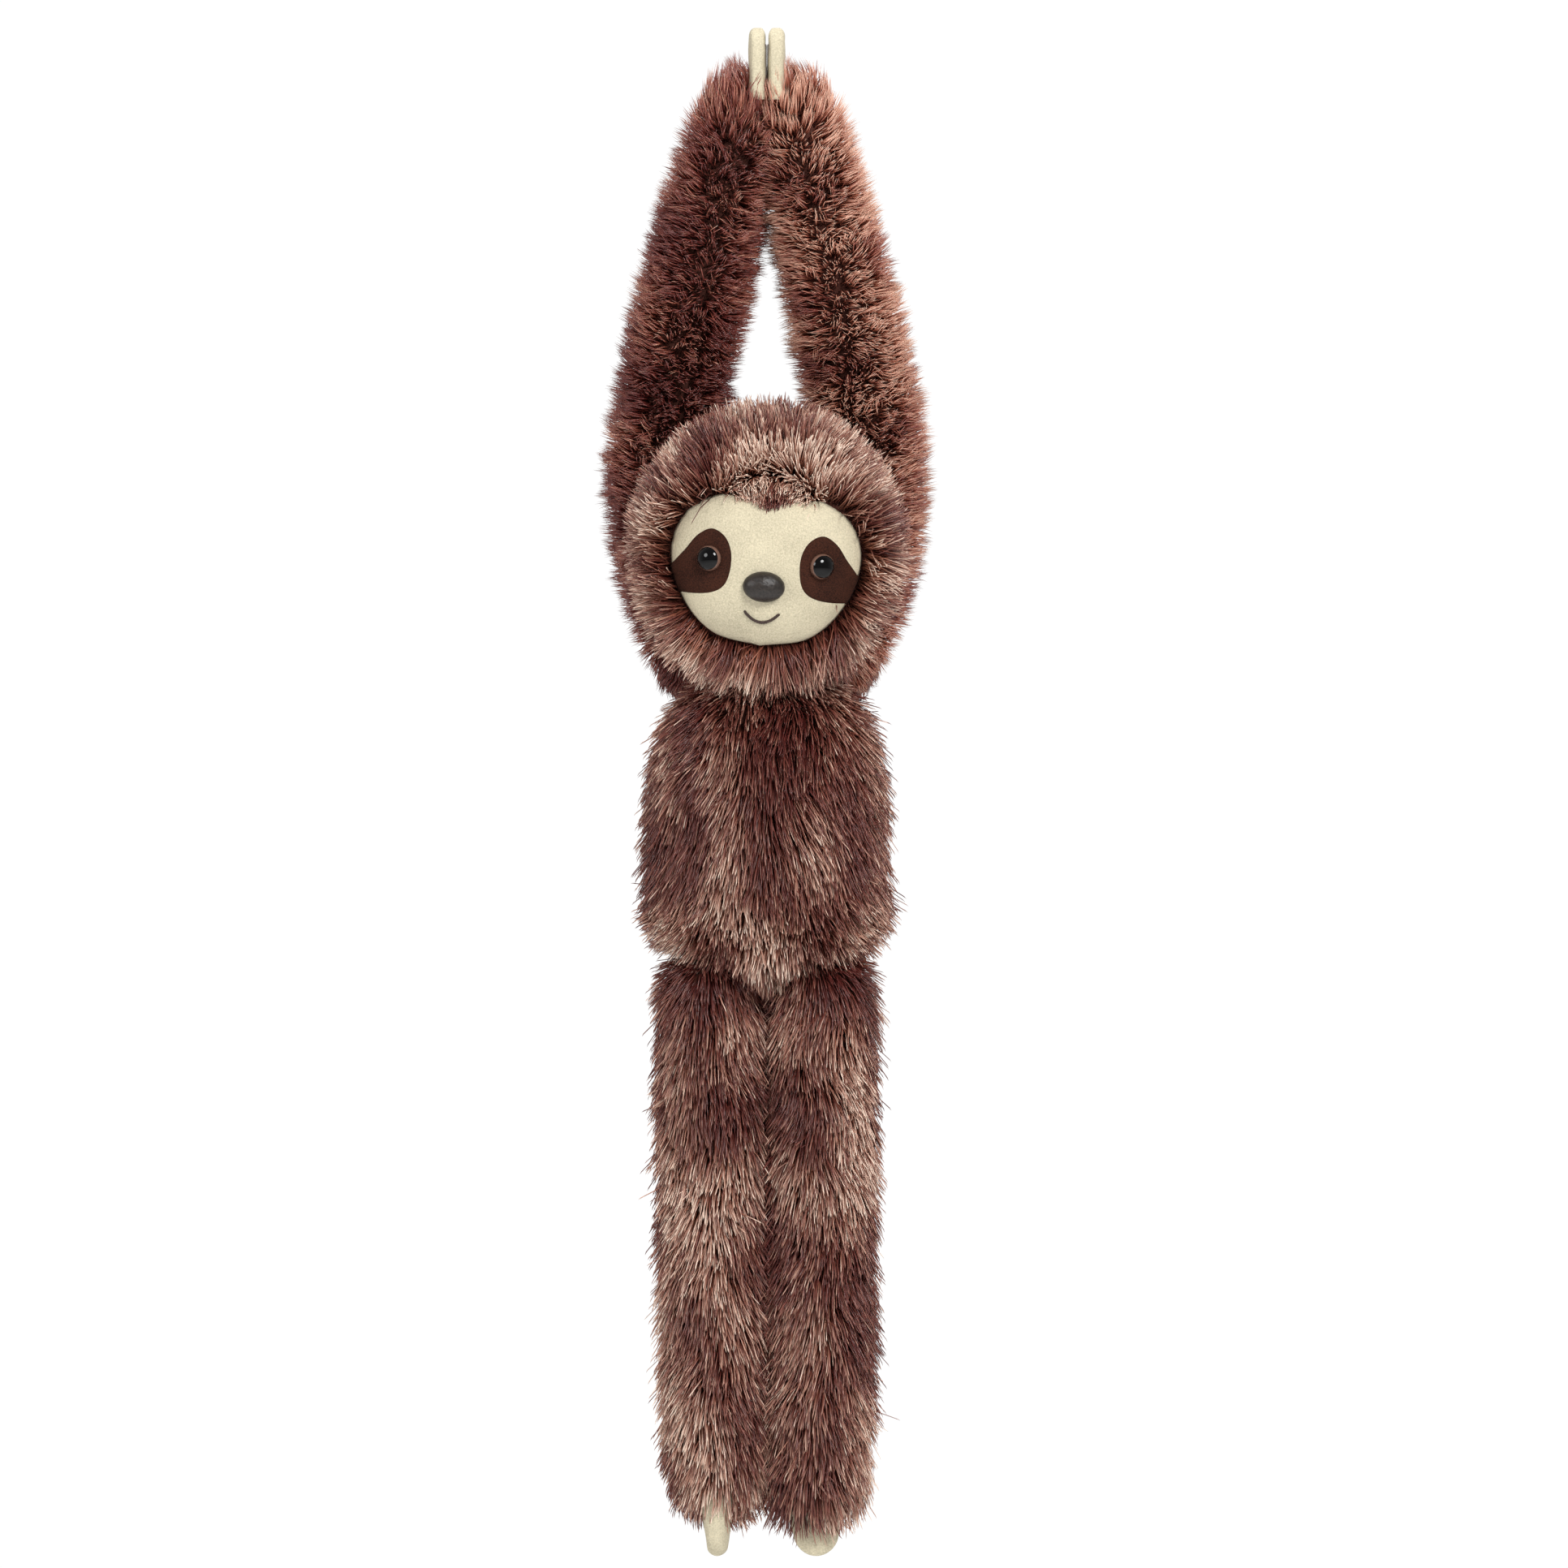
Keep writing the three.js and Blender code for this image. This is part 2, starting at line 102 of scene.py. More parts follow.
def fade(value, start, end):
    """0 to 1 as the value goes from start to end, whichever is the larger."""
    return np.clip((value - start) / (end - start), 0, 1)


def ease(value, start, end):
    """The same, with a soft start and a soft end."""
    t = fade(value, start, end)
    return t * t * (3 - 2 * t)


# ---------------------------------------------------------------- camera and light

VIEW_WIDTH = 0.541  # how much the picture spans at the toy
VIEW_DISTANCE = 6.0
VIEW_ASIDE = 5.9 * MM  # how far right of the toy's middle the camera is
VIEW_RISE = 2.7 * MM  # and how far above the middle of its height
SENSOR = 36.0
AMBIENT = {"front": 0.3, "back": 1.0}  # how strongly the surroundings light the toy
BACKDROP = 1.02  # how bright they look to the camera
LIGHTS = {  # place in metres, and power
    "key": ((0.7, -1.6, 0.8), 38),
    "fill": ((-1.3, -1.2, 0.35), 12),
    "top": ((0.1, 0.4, 1.4), 14),
}
LIGHT_SIZE = 0.7
LIGHT_TARGET = (0, 0, -0.15)


def make_camera():
    camera = bpy.data.objects.new("camera", bpy.data.cameras.new("camera"))
    bpy.context.collection.objects.link(camera)
    low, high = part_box("left_foot_mitt")[0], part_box("left_hand_mitt")[1]
    camera.location = (VIEW_ASIDE, -VIEW_DISTANCE, (low.z + high.z) / 2 + VIEW_RISE)
    camera.rotation_euler = (math.pi / 2, 0, 0)
    camera.data.sensor_width = SENSOR
    camera.data.lens = SENSOR * VIEW_DISTANCE / VIEW_WIDTH
    camera.data.clip_end = 20
    bpy.context.scene.camera = camera


def area_light(name, place, power):
    light = bpy.data.lights.new(name, "AREA")
    light.shape = "DISK"
    light.size = LIGHT_SIZE
    light.energy = power
    lamp = bpy.data.objects.new(name, light)
    bpy.context.collection.objects.link(lamp)
    lamp.location = place
    aim = Vector(LIGHT_TARGET) - Vector(place)
    lamp.rotation_euler = aim.to_track_quat("-Z", "Y").to_euler()


def make_light():
    """Soft studio lamps in white surroundings, which light the toy more from behind."""
    world = bpy.data.worlds.new("studio")
    bpy.context.scene.world = world
    world.use_nodes = True
    tree = world.node_tree
    background = tree.nodes["Background"]
    background.inputs["Color"].default_value = (1, 1, 1, 1)
    seen = tree.nodes.new("ShaderNodeLightPath")
    strength = tree.nodes.new("ShaderNodeMapRange")
    strength.inputs["To Max"].default_value = BACKDROP
    tree.links.new(seen.outputs["Is Camera Ray"], strength.inputs["Value"])
    way = tree.nodes.new("ShaderNodeTexCoord")
    apart = tree.nodes.new("ShaderNodeSeparateXYZ")
    depth = tree.nodes.new("ShaderNodeMapRange")
    tree.links.new(way.outputs["Generated"], apart.inputs[0])
    tree.links.new(apart.outputs["Y"], depth.inputs["Value"])
    for socket, value in (("From Min", -0.5), ("From Max", 0.7),
                          ("To Min", AMBIENT["front"]), ("To Max", AMBIENT["back"])):
        depth.inputs[socket].default_value = value
    tree.links.new(depth.outputs["Result"], strength.inputs["To Min"])
    tree.links.new(strength.outputs["Result"], background.inputs["Strength"])
    for name, (place, power) in LIGHTS.items():
        area_light(name, place, power)
    bpy.context.scene.view_settings.view_transform = "Standard"


# ---------------------------------------------------------------- materials


def new_material(name):
    """(material, its node tree, its Principled shader, a function that adds a node)."""
    material = bpy.data.materials.new(name)
    material.use_nodes = True
    tree = material.node_tree
    shader = tree.nodes["Principled BSDF"]

    def add(kind, **values):
        node = tree.nodes.new(kind)
        for key, value in values.items():
            if hasattr(node, key):
                setattr(node, key, value)
            else:
                node.inputs[key.replace("_", " ")].default_value = value
        return node

    return material, tree, shader, add


def colour(r, g, b):
    """An sRGB colour, 0 to 255, as the linear one that shaders take."""
    c = np.array([r, g, b]) / 255
    linear = np.where(c <= 0.04045, c / 12.92, ((c + 0.055) / 1.055) ** 2.4)
    return (*linear, 1)


def set_ramp(node, stops):
    ramp = node.color_ramp
    while len(ramp.elements) > 1:
        ramp.elements.remove(ramp.elements[-1])
    for i, (at, value) in enumerate(stops):
        element = ramp.elements[0] if i == 0 else ramp.elements.new(at)
        element.position = at
        element.color = value


BODY_PILE = {  # sRGB colours at tones from 0, dark, to 1, pale
    # the darker root colours are painted shade deep in the pile
    "root": {0: (50, 15, 12), 1: (108, 56, 42)},
    "body": {0: (80, 29, 26), 0.5: (114, 59, 47), 1: (160, 102, 80)},
    "tip": {0: (92, 38, 33), 0.4: (134, 80, 67), 0.75: (202, 158, 136), 1: (255, 232, 212)},
}
ARM_PILE = {
    # the darker root colours are painted shade deep in the pile
    "root": {0: (70, 24, 23), 1: (122, 62, 52)},
    "body": {0: (92, 36, 34), 0.5: (124, 60, 50), 1: (168, 100, 78)},
    "tip": {0: (100, 40, 36), 0.5: (138, 74, 62), 0.8: (186, 126, 104), 1: (236, 192, 166)},
}


def pile_material(name, tones):
    """Tipped pile. Across the UV map lies a strand's tone and up it the way to its tip."""
    material, tree, shader, add = new_material(name)
    link = tree.links.new
    place = add("ShaderNodeUVMap", uv_map="OFBake")
    apart = add("ShaderNodeSeparateXYZ")
    link(place.outputs["UV"], apart.inputs[0])
    # the root colour is painted shade inside the pile
    root, body, tip = (add("ShaderNodeValToRGB") for _ in range(3))
    for ramp, part in ((root, "root"), (body, "body"), (tip, "tip")):
        set_ramp(ramp, [(at, colour(*tone)) for at, tone in tones[part].items()])
        link(apart.outputs["X"], ramp.inputs["Fac"])
    low = add("ShaderNodeMapRange", From_Min=0.0, From_Max=0.4)
    high = add("ShaderNodeMapRange", From_Min=0.5, From_Max=0.95)
    for step in (low, high):
        link(apart.outputs["Y"], step.inputs["Value"])
    first = add("ShaderNodeMix", data_type="RGBA")
    second = add("ShaderNodeMix", data_type="RGBA")
    link(low.outputs["Result"], first.inputs["Factor"])
    link(high.outputs["Result"], second.inputs["Factor"])
    for mix, feeds in ((first, (root, body)), (second, (first, tip))):
        wire_mix(tree, mix, *feeds)
    link(second.outputs[2], shader.inputs["Base Color"])
    shader.inputs["Roughness"].default_value = 0.34
    shader.inputs["Specular IOR Level"].default_value = 0.6
    return material


def wire_mix(tree, mix, a, b):
    """Joins two colours to a colour Mix node, whose sockets share their names."""
    for source, socket in ((a, mix.inputs[6]), (b, mix.inputs[7])):
        out = source.outputs[2] if source.bl_idname == "ShaderNodeMix" else source.outputs[0]
        tree.links.new(out, socket)


def speckled(name, dark, light, scale, rough, bump, distance=0.0004):
    """Short-pile fabric, or grained plastic: two tones in fine speckles, with their bump."""
    material, tree, shader, add = new_material(name)
    link = tree.links.new
    place = add("ShaderNodeTexCoord")
    fine = add("ShaderNodeTexNoise", Scale=scale, Detail=3.0, Roughness=0.7)
    broad = add("ShaderNodeTexNoise", Scale=scale / 30, Detail=2.0)
    for texture in (fine, broad):
        link(place.outputs["Object"], texture.inputs["Vector"])
    both = add("ShaderNodeMath", operation="MULTIPLY_ADD")
    both.inputs[1].default_value = 0.35
    link(broad.outputs["Fac"], both.inputs[0])
    link(fine.outputs["Fac"], both.inputs[2])
    ramp = add("ShaderNodeValToRGB")
    set_ramp(ramp, [(0.45, dark), (0.85, light)])
    link(both.outputs[0], ramp.inputs["Fac"])
    link(ramp.outputs["Color"], shader.inputs["Base Color"])
    raised = add("ShaderNodeBump", Strength=bump, Distance=distance)
    link(fine.outputs["Fac"], raised.inputs["Height"])
    link(raised.outputs["Normal"], shader.inputs["Normal"])
    shader.inputs["Roughness"].default_value = rough
    return material


def plain(name, tone, rough, specular=0.5):
    material, _, shader, _ = new_material(name)
    shader.inputs["Base Color"].default_value = tone
    shader.inputs["Roughness"].default_value = rough
    shader.inputs["Specular IOR Level"].default_value = specular
    return material


def make_materials():
    made = {
        "pile": pile_material("tipped_pile", BODY_PILE),
        "arm_pile": pile_material("tipped_arm_pile", ARM_PILE),
        "backing": speckled("pile_backing", colour(48, 24, 20), colour(84, 50, 42),
                            1500, 0.95, 0.5),
        "cream": speckled("cream_short_pile", colour(166, 157, 134), colour(207, 197, 170),
                          1800, 0.9, 0.6),
        "patch": speckled("brown_short_pile", colour(10, 4, 3), colour(66, 35, 23),
                          2300, 0.9, 0.6),
        "nose": speckled("grained_nose", colour(6, 5, 4), colour(46, 38, 33),
                         1300, 0.36, 0.9, 0.0002),
        "pupil": plain("eye_pupil", colour(4, 3, 3), 0.04, 0.26),
        # the eye's own brown rim, made paler as a painted reflection of the clear plastic's edge
        "iris": plain("eye_rim_and_painted_reflection", colour(104, 76, 64), 0.15, 0.4),
        "thread": speckled("mouth_thread", colour(22, 13, 10), colour(62, 42, 34),
                           4000, 0.7, 0.4),
        "pad": speckled("closure_pad", colour(66, 58, 52), colour(128, 118, 106),
                        3000, 0.8, 0.8),
        "washer": speckled("moulded_washer", colour(226, 226, 220), colour(240, 240, 236),
                           900, 0.5, 0.1),
    }
    for name, specular in (("patch", 0.15), ("backing", 0.1), ("cream", 0.3), ("nose", 0.42)):
        shader = made[name].node_tree.nodes["Principled BSDF"]
        shader.inputs["Specular IOR Level"].default_value = specular
    return made


# ---------------------------------------------------------------- meshes


def mesh_object(name, points, faces, material, smooth=True):
    mesh = bpy.data.meshes.new(name)
    mesh.from_pydata([tuple(p) for p in points], [], [tuple(f) for f in faces])
    mesh.update()
    if smooth:
        mesh.shade_smooth()
    else:
        mesh.shade_flat()
    mesh.materials.append(material)
    made = bpy.data.objects.new(name, mesh)
    bpy.context.collection.objects.link(made)
    return made


def grid_faces(rings, around):
    """Quads between rings of points that each close on themselves."""
    return [
        (i * around + k, i * around + (k + 1) % around,
         (i + 1) * around + (k + 1) % around, (i + 1) * around + k)
        for i in range(rings - 1) for k in range(around)
    ]


def closed_rings(rings):
    """(points, faces) of rings of points from one end to the other, closed at both ends."""
    rings = np.asarray(rings, float)
    count, around = rings.shape[:2]
    points = np.vstack([rings.reshape(-1, 3), rings[0].mean(0), rings[-1].mean(0)])
    first, last = count * around, count * around + 1
    faces = grid_faces(count, around)
    faces += [(first, (k + 1) % around, k) for k in range(around)]
    top = (count - 1) * around
    faces += [(last, top + k, top + (k + 1) % around) for k in range(around)]
    return points, faces


def catmull_rom(a, b, c, d, t):
    """Between b and c, on the smooth curve that also goes through a and d."""
    return 0.5 * (2 * b + (c - a) * t + (2 * a - 5 * b + 4 * c - d) * t ** 2
                  + (3 * b - a - 3 * c + d) * t ** 3)


def spline(points, share):
    """Catmull-Rom through the points, at shares from 0 to 1 of the way along."""
    points = np.asarray(points, float)
    padded = np.vstack([2 * points[0] - points[1], points, 2 * points[-1] - points[-2]])
    at = np.clip(np.asarray(share, float), 0, 1) * (len(points) - 1)
    i = np.minimum(at.astype(int), len(points) - 2)
    t = (at - i)[:, None]
    return catmull_rom(*(padded[i + k] for k in range(4)), t)


def lumps(points, size, depth, seed):
    """How far each point is pushed out by soft lumps of about this size."""
    shift = Vector((seed * 7.3, seed * 3.1, seed * 5.7))
    return np.array([noise.noise(Vector(p) / size + shift) for p in points]) * depth


# ---------------------------------------------------------------- fur

TONES = 0.98  # the widest tone on the UV map, inside its edge
CUT_PILE = (0, 0.5, 0.93, 1)  # where a thick, blunt strand has its rings and its tip
FINE_PILE = (0, 0.55, 1)
STRAND_WIDTH = 0.46 * MM
ARM_STRAND_WIDTH = 0.44 * MM
FUR_LENGTH = {"torso": 18 * MM, "head": 15 * MM, "arm": 11.5 * MM, "leg": 16.5 * MM}
ROOTED = 0.4 * MM  # how deep a strand starts in its skin
STRAYS, STRAY_SPREAD = 0.05, 2.5  # share of stray strands, and how much more they spread
MOST_TRIANGLES = 195000  # in one piece of fur


def sample_skin(points, faces, per_mm2, rng, keep=None):
    """Random roots over a skin: (places, outward normals), a number for each mm2."""
    tris = []
    for f in faces:
        tris += [(f[0], f[k], f[k + 1]) for k in range(1, len(f) - 1)]
    tris = np.array(tris)
    a, b, c = (points[tris[:, k]] for k in range(3))
    cross = np.cross(b - a, c - a)
    area = np.linalg.norm(cross, axis=1) / 2
    vertex_normals = np.zeros_like(points)
    for k in range(3):
        np.add.at(vertex_normals, tris[:, k], cross)
    vertex_normals = unit(vertex_normals)
    count = int(area.sum() / MM ** 2 * per_mm2)
    pick = rng.choice(len(tris), count, p=area / area.sum())
    u, v = rng.random((2, count, 1))
    u, v = np.where(u + v > 1, 1 - u, u), np.where(u + v > 1, 1 - v, v)
    place = a[pick] + u * (b[pick] - a[pick]) + v * (c[pick] - a[pick])
    t = tris[pick]
    normal = unit((1 - u - v) * vertex_normals[t[:, 0]] + u * vertex_normals[t[:, 1]]
                  + v * vertex_normals[t[:, 2]])
    if keep is not None:
        kept = keep(place)
        place, normal = place[kept], normal[kept]
    return place, normal


def strand_lines(roots, at_root, at_tip, length, stops):
    """The middle line of each strand, which turns evenly from one direction to the other."""
    t = np.array(stops)[None, :, None]
    u0, u1 = unit(at_root)[:, None], unit(at_tip)[:, None]
    return roots[:, None] + length[:, None, None] * (u0 * t + (u1 - u0) * t ** 2 / 2), t


def clump(lines, t, roots, share, every, rng):
    """Draws the strands towards the nearest of some leading strands, most at the tips."""
    leaders = rng.choice(len(roots), max(1, len(roots) // every), replace=False)
    tree = kdtree.KDTree(len(leaders))
    for k, i in enumerate(leaders):
        tree.insert(roots[i], k)
    tree.balance()
    nearest = leaders[np.array([tree.find(p)[1] for p in roots])]
    pull = np.reshape(share, (-1, 1, 1)) * t ** 1.4
    return lines + pull * (lines[nearest] - lines), nearest, rng.random(len(roots))[nearest]


def fur(name, roots, normals, lean, look, rng):
    """Strands from roots on a skin, as closed three-sided spikes that lie along lean.

    look: length and width in metres; longer, a factor on the length; stand at the root
    and at the tip from 0, lying, to 1, upright; pull, a push on the tips; spread, how
    unruly the directions are; clump, how far strands draw together, and every, how many
    share one leader; stops along a strand; blunt from 0 to 1; tone, a function from
    places to 0, dark, to 1, pale; and if need be paler, which is added to the tone, and
    pile, the name of a material.
    """
    count = len(roots)
    lean = lean - normals * (lean * normals).sum(1, keepdims=True)
    lean = lean / np.maximum(np.linalg.norm(lean, axis=1, keepdims=True), 1)
    stray = np.where(rng.random((count, 1)) < STRAYS, STRAY_SPREAD, 1.0)
    wild = rng.normal(0, look["spread"], (count, 3)) * stray
    directions = []
    for stand in look["stand"]:
        stand = np.reshape(stand, (-1, 1))
        directions.append(unit(normals * stand + lean * (1 - stand) + wild))
    directions[1] = unit(directions[1] + look["pull"])
    length = look["length"] * rng.uniform(0.72, 1.12, count) * look["longer"]
    lines, t = strand_lines(roots - normals * ROOTED, *directions, length, look["stops"])
    lines, leader, tuft = clump(lines, t, roots, look["clump"], look["every"], rng)

    steps = len(look["stops"]) - 1
    along = unit(np.gradient(lines, axis=1))
    side = unit(np.cross(along, normals[:, None] + 0.3 * rng.normal(0, 1, (count, 1, 3))))
    other = np.cross(along, side)
    taper = (1 - t[0, :steps, 0] ** 2 * (1 - look["blunt"]))[None, :, None]
    radius = look["width"] / 2 * rng.uniform(0.75, 1.2, (count, 1, 1)) * taper
    corners = []
    for k in range(3):
        turn = 2 * math.pi * k / 3
        corners.append(lines[:, :steps]
                       + radius * (math.cos(turn) * side + math.sin(turn) * other)[:, :steps])
    rings = np.stack(corners, axis=2).reshape(count, steps * 3, 3)
    points = np.concatenate([rings, lines[:, -1:]], axis=1)
    each = steps * 3 + 1
    quads = [(3 * i + k, 3 * i + (k + 1) % 3, 3 * i + 3 + (k + 1) % 3, 3 * i + 3 + k)
             for i in range(steps - 1) for k in range(3)]
    last = 3 * (steps - 1)
    tris = [(last + k, last + (k + 1) % 3, each - 1) for k in range(3)] + [(2, 1, 0)]

    first = np.arange(count)[:, None] * each
    tone = look["tone"](roots)[leader] + look.get("paler", 0)
    tone += 0.22 * (tuft - 0.5) + rng.normal(0, 0.21, count)
    tone = np.clip(tone, 0.02, TONES)
    height = np.append(np.repeat(t[0, :steps, 0], 3), 1.0)
    corner_lists = [np.array(quads).reshape(-1), np.array(tris).reshape(-1)]
    loops = np.concatenate([(first + c[None]) for c in corner_lists], axis=1).reshape(-1)
    corner_height = height[np.concatenate(corner_lists)]
    uv = np.empty((count, len(corner_height), 2), np.float32)
    uv[..., 0] = tone[:, None]
    uv[..., 1] = 0.01 + TONES * corner_height[None]
    sizes = np.tile([4] * len(quads) + [3] * len(tris), count)

    mesh = bpy.data.meshes.new(name)
    mesh.vertices.add(count * each)
    mesh.vertices.foreach_set("co", points.astype(np.float32).reshape(-1))
    mesh.loops.add(len(loops))
    mesh.loops.foreach_set("vertex_index", loops.astype(np.int32))
    mesh.polygons.add(len(sizes))
    starts = np.concatenate([[0], np.cumsum(sizes)[:-1]]).astype(np.int32)
    mesh.polygons.foreach_set("loop_start", starts)
    mesh.update(calc_edges=True)
    mesh.uv_layers.new(name="OFBake").data.foreach_set("uv", uv.reshape(-1))
    mesh.shade_smooth()
    mesh.materials.append(materials[look.get("pile", "pile")])
    made = bpy.data.objects.new(name, mesh)
    bpy.context.collection.objects.link(made)
    triangles = int((sizes - 2).sum())
    if triangles > MOST_TRIANGLES:
        raise ValueError(f"{name} has {triangles} triangles")
    print(name, count, "strands,", triangles, "triangles")
    return made


def blotches(size, low, high, seed, tall=1.0):
    """A tone that drifts between low and high in blotches this wide, and so much taller."""
    shift = Vector((seed * 3.7, seed * 1.9, seed * 2.3))

    def tone(places):
        spots = places / [size, size, size * tall]
        wave = np.array([noise.noise(Vector(p) + shift) for p in spots])
        return low + (high - low) * np.clip(wave * 1.1 + 0.5, 0, 1)

    return tone


def skin(name, points, faces, nodes, body=None, blend=None):
    """A fabric backing that stands for CAD covers and what fills them.

    It rides on one body; given a blend (body a, body b, start, end), it stays where it lies
    instead, and the blend's bodies and ends are not used.
    """
    made = mesh_object(name, points, faces, materials["backing"])
    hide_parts(*nodes)
    if blend:
        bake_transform(made)
    else:
        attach(made, body)


# ---------------------------------------------------------------- torso

SKIN_IN = 0.6 * MM  # how far inside its CAD cover a skin lies


TORSO_SHAPE = [  # share of the half width at each share of the height
    (0.03, 0.0), (0.42, 0.02), (0.78, 0.08), (0.95, 0.18), (1.0, 0.34), (0.98, 0.56),
    (0.92, 0.73), (0.78, 0.86), (0.53, 0.95), (0.26, 1.0),
]


def make_torso():
    """The torso's skin, and fur whose lower edge hangs over the tops of the legs."""
    rng = np.random.default_rng(11)
    low, high = (np.array(p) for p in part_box("torso_cover"))
    half = (high - low) / 2 - SKIN_IN
    outline = spline([(w, 0, h) for w, h in TORSO_SHAPE], np.linspace(0, 1, 46))
    around = 64
    turn = np.linspace(0, 2 * math.pi, around, endpoint=False)
    rings = []
    for w, _, h in outline:
        z = low[2] + SKIN_IN + h * (high[2] - low[2] - 2 * SKIN_IN)
        rings.append(np.stack([w * half[0] * np.cos(turn), w * half[1] * np.sin(turn),
                               np.full(around, z)], axis=1))
    points, faces = closed_rings(rings)
    out = unit(points * [1, 1, 0])
    points = points + out * lumps(points, 0.022, 0.8 * MM, 1)[:, None]
    skin("torso_skin", points, faces, ["torso_cover", "torso_stuffing", "pellet_pouch"],
         body="torso")

    roots, normals = sample_skin(points, faces, 1.2, rng)
    middle_z = (low[2] + high[2]) / 2
    sway = lumps(roots, 0.018, 0.7, 3)
    hem = fade(roots[:, 2], low[2] + 32 * MM, low[2] + 8 * MM)
    top = fade(roots[:, 2], high[2] - 22 * MM, high[2] - 2 * MM)
    crotch = np.exp(-(roots[:, 0] / (9 * MM)) ** 2) * (roots[:, 2] < low[2] + 9 * MM)
    aside = np.clip(np.abs(roots[:, 0]) / half[0] * 1.8 - 0.6, 0, 1)
    skirt = hem * aside
    lean = np.stack([roots[:, 0] / half[0] * (0.3 + 0.35 * hem + 0.55 * skirt) + sway,
                     roots[:, 1] / half[1] * 0.4 * hem, 0.95 * skirt - 1.1], axis=1)
    pull = np.zeros((len(roots), 3))
    pull[:, 2] = -0.2 - 0.1 * hem
    for part, chosen in (("upper", roots[:, 2] > middle_z), ("lower", roots[:, 2] <= middle_z)):
        look = dict(length=FUR_LENGTH["torso"], width=STRAND_WIDTH, spread=0.13,
                    stops=CUT_PILE, blunt=0.65,
                    stand=((0.6 + 0.25 * hem)[chosen], (0.22 + 0.46 * hem)[chosen]),
                    clump=0.42, every=5, pull=pull[chosen],
                    longer=(1 - 0.25 * top - 0.36 * hem + 0.24 * skirt + 0.3 * crotch)[chosen],
                    paler=(0.14 * hem)[chosen],
                    tone=blotches(0.014, 0.08, 0.7, 2, 2.2))
        made = fur(f"torso_fur_{part}", roots[chosen], normals[chosen], lean[chosen], look, rng)
        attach(made, "torso")


# ---------------------------------------------------------------- head

head_low, head_high = (np.array(p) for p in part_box("head_cover"))
head_low[1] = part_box("face_panel")[0].y
head_middle = (head_low + head_high) / 2
head_half = (head_high - head_low) / 2
HEAD_ROLL = math.radians(4.2)
head_turn = np.array(Matrix.Rotation(HEAD_ROLL, 3, "Y"))


def from_head(points):
    """Points of the head's own frame, in the row frame."""
    return np.asarray(points, float) @ head_turn.T + head_middle


def to_head(points):
    return (np.asarray(points, float) - head_middle) @ head_turn


def on_head(x, z, lift=0.0):
    """The front of the head at x and z of its own frame, and the way out there."""
    x, z = np.asarray(x, float), np.asarray(z, float)
    left = 1 - (x / head_half[0]) ** 2 - (z / head_half[2]) ** 2
    y = -head_half[1] * np.sqrt(np.maximum(left, 0.0))
    place = np.stack([x, y, z], axis=-1)
    out = unit(place / head_half ** 2)
    return place + out * np.asarray(lift)[..., None], out


# Half of the face panel's edge, from the chin up to the peak of the brow, in mm
FACE_HALF = [(0, -34.5), (16.5, -31), (27.8, -20), (33.3, -4), (29.5, 9.5), (18, 17),
             (7.5, 16.2), (0, 13.4)]
FACE_MIDDLE = np.array([0.0, -8.0]) * MM
PEAK_HEIGHT = FACE_HALF[-1][1] * MM


def face_edge():
    """The closed edge of the face panel, in the head's x and z."""
    half = spline([(x, 0, z) for x, z in FACE_HALF], np.linspace(0, 1, 90))
    half = half[:, [0, 2]] * MM
    other = half[1:-1][::-1] * [-1, 1]
    return np.vstack([half, other])


def edge_reach(edge, angle):
    """How far the edge is from the middle of the face in each direction."""
    rel = edge - FACE_MIDDLE
    turns = np.arctan2(rel[:, 1], rel[:, 0])
    order = np.argsort(turns)
    return np.interp(angle, turns[order], np.linalg.norm(rel, axis=1)[order],
                     period=2 * math.pi)


def brow_peak(local):
    """How much a strand belongs to the tuft that hangs over the middle of the brow."""
    half_width, half_height = 16 * MM, 9.5 * MM
    up = local[:, 2] - PEAK_HEIGHT - 3 * MM
    far = np.hypot(local[:, 0] / half_width, up / half_height)
    return np.clip((1.2 - far) / 0.55, 0, 1) * (local[:, 2] > 0) * (local[:, 1] < 0)


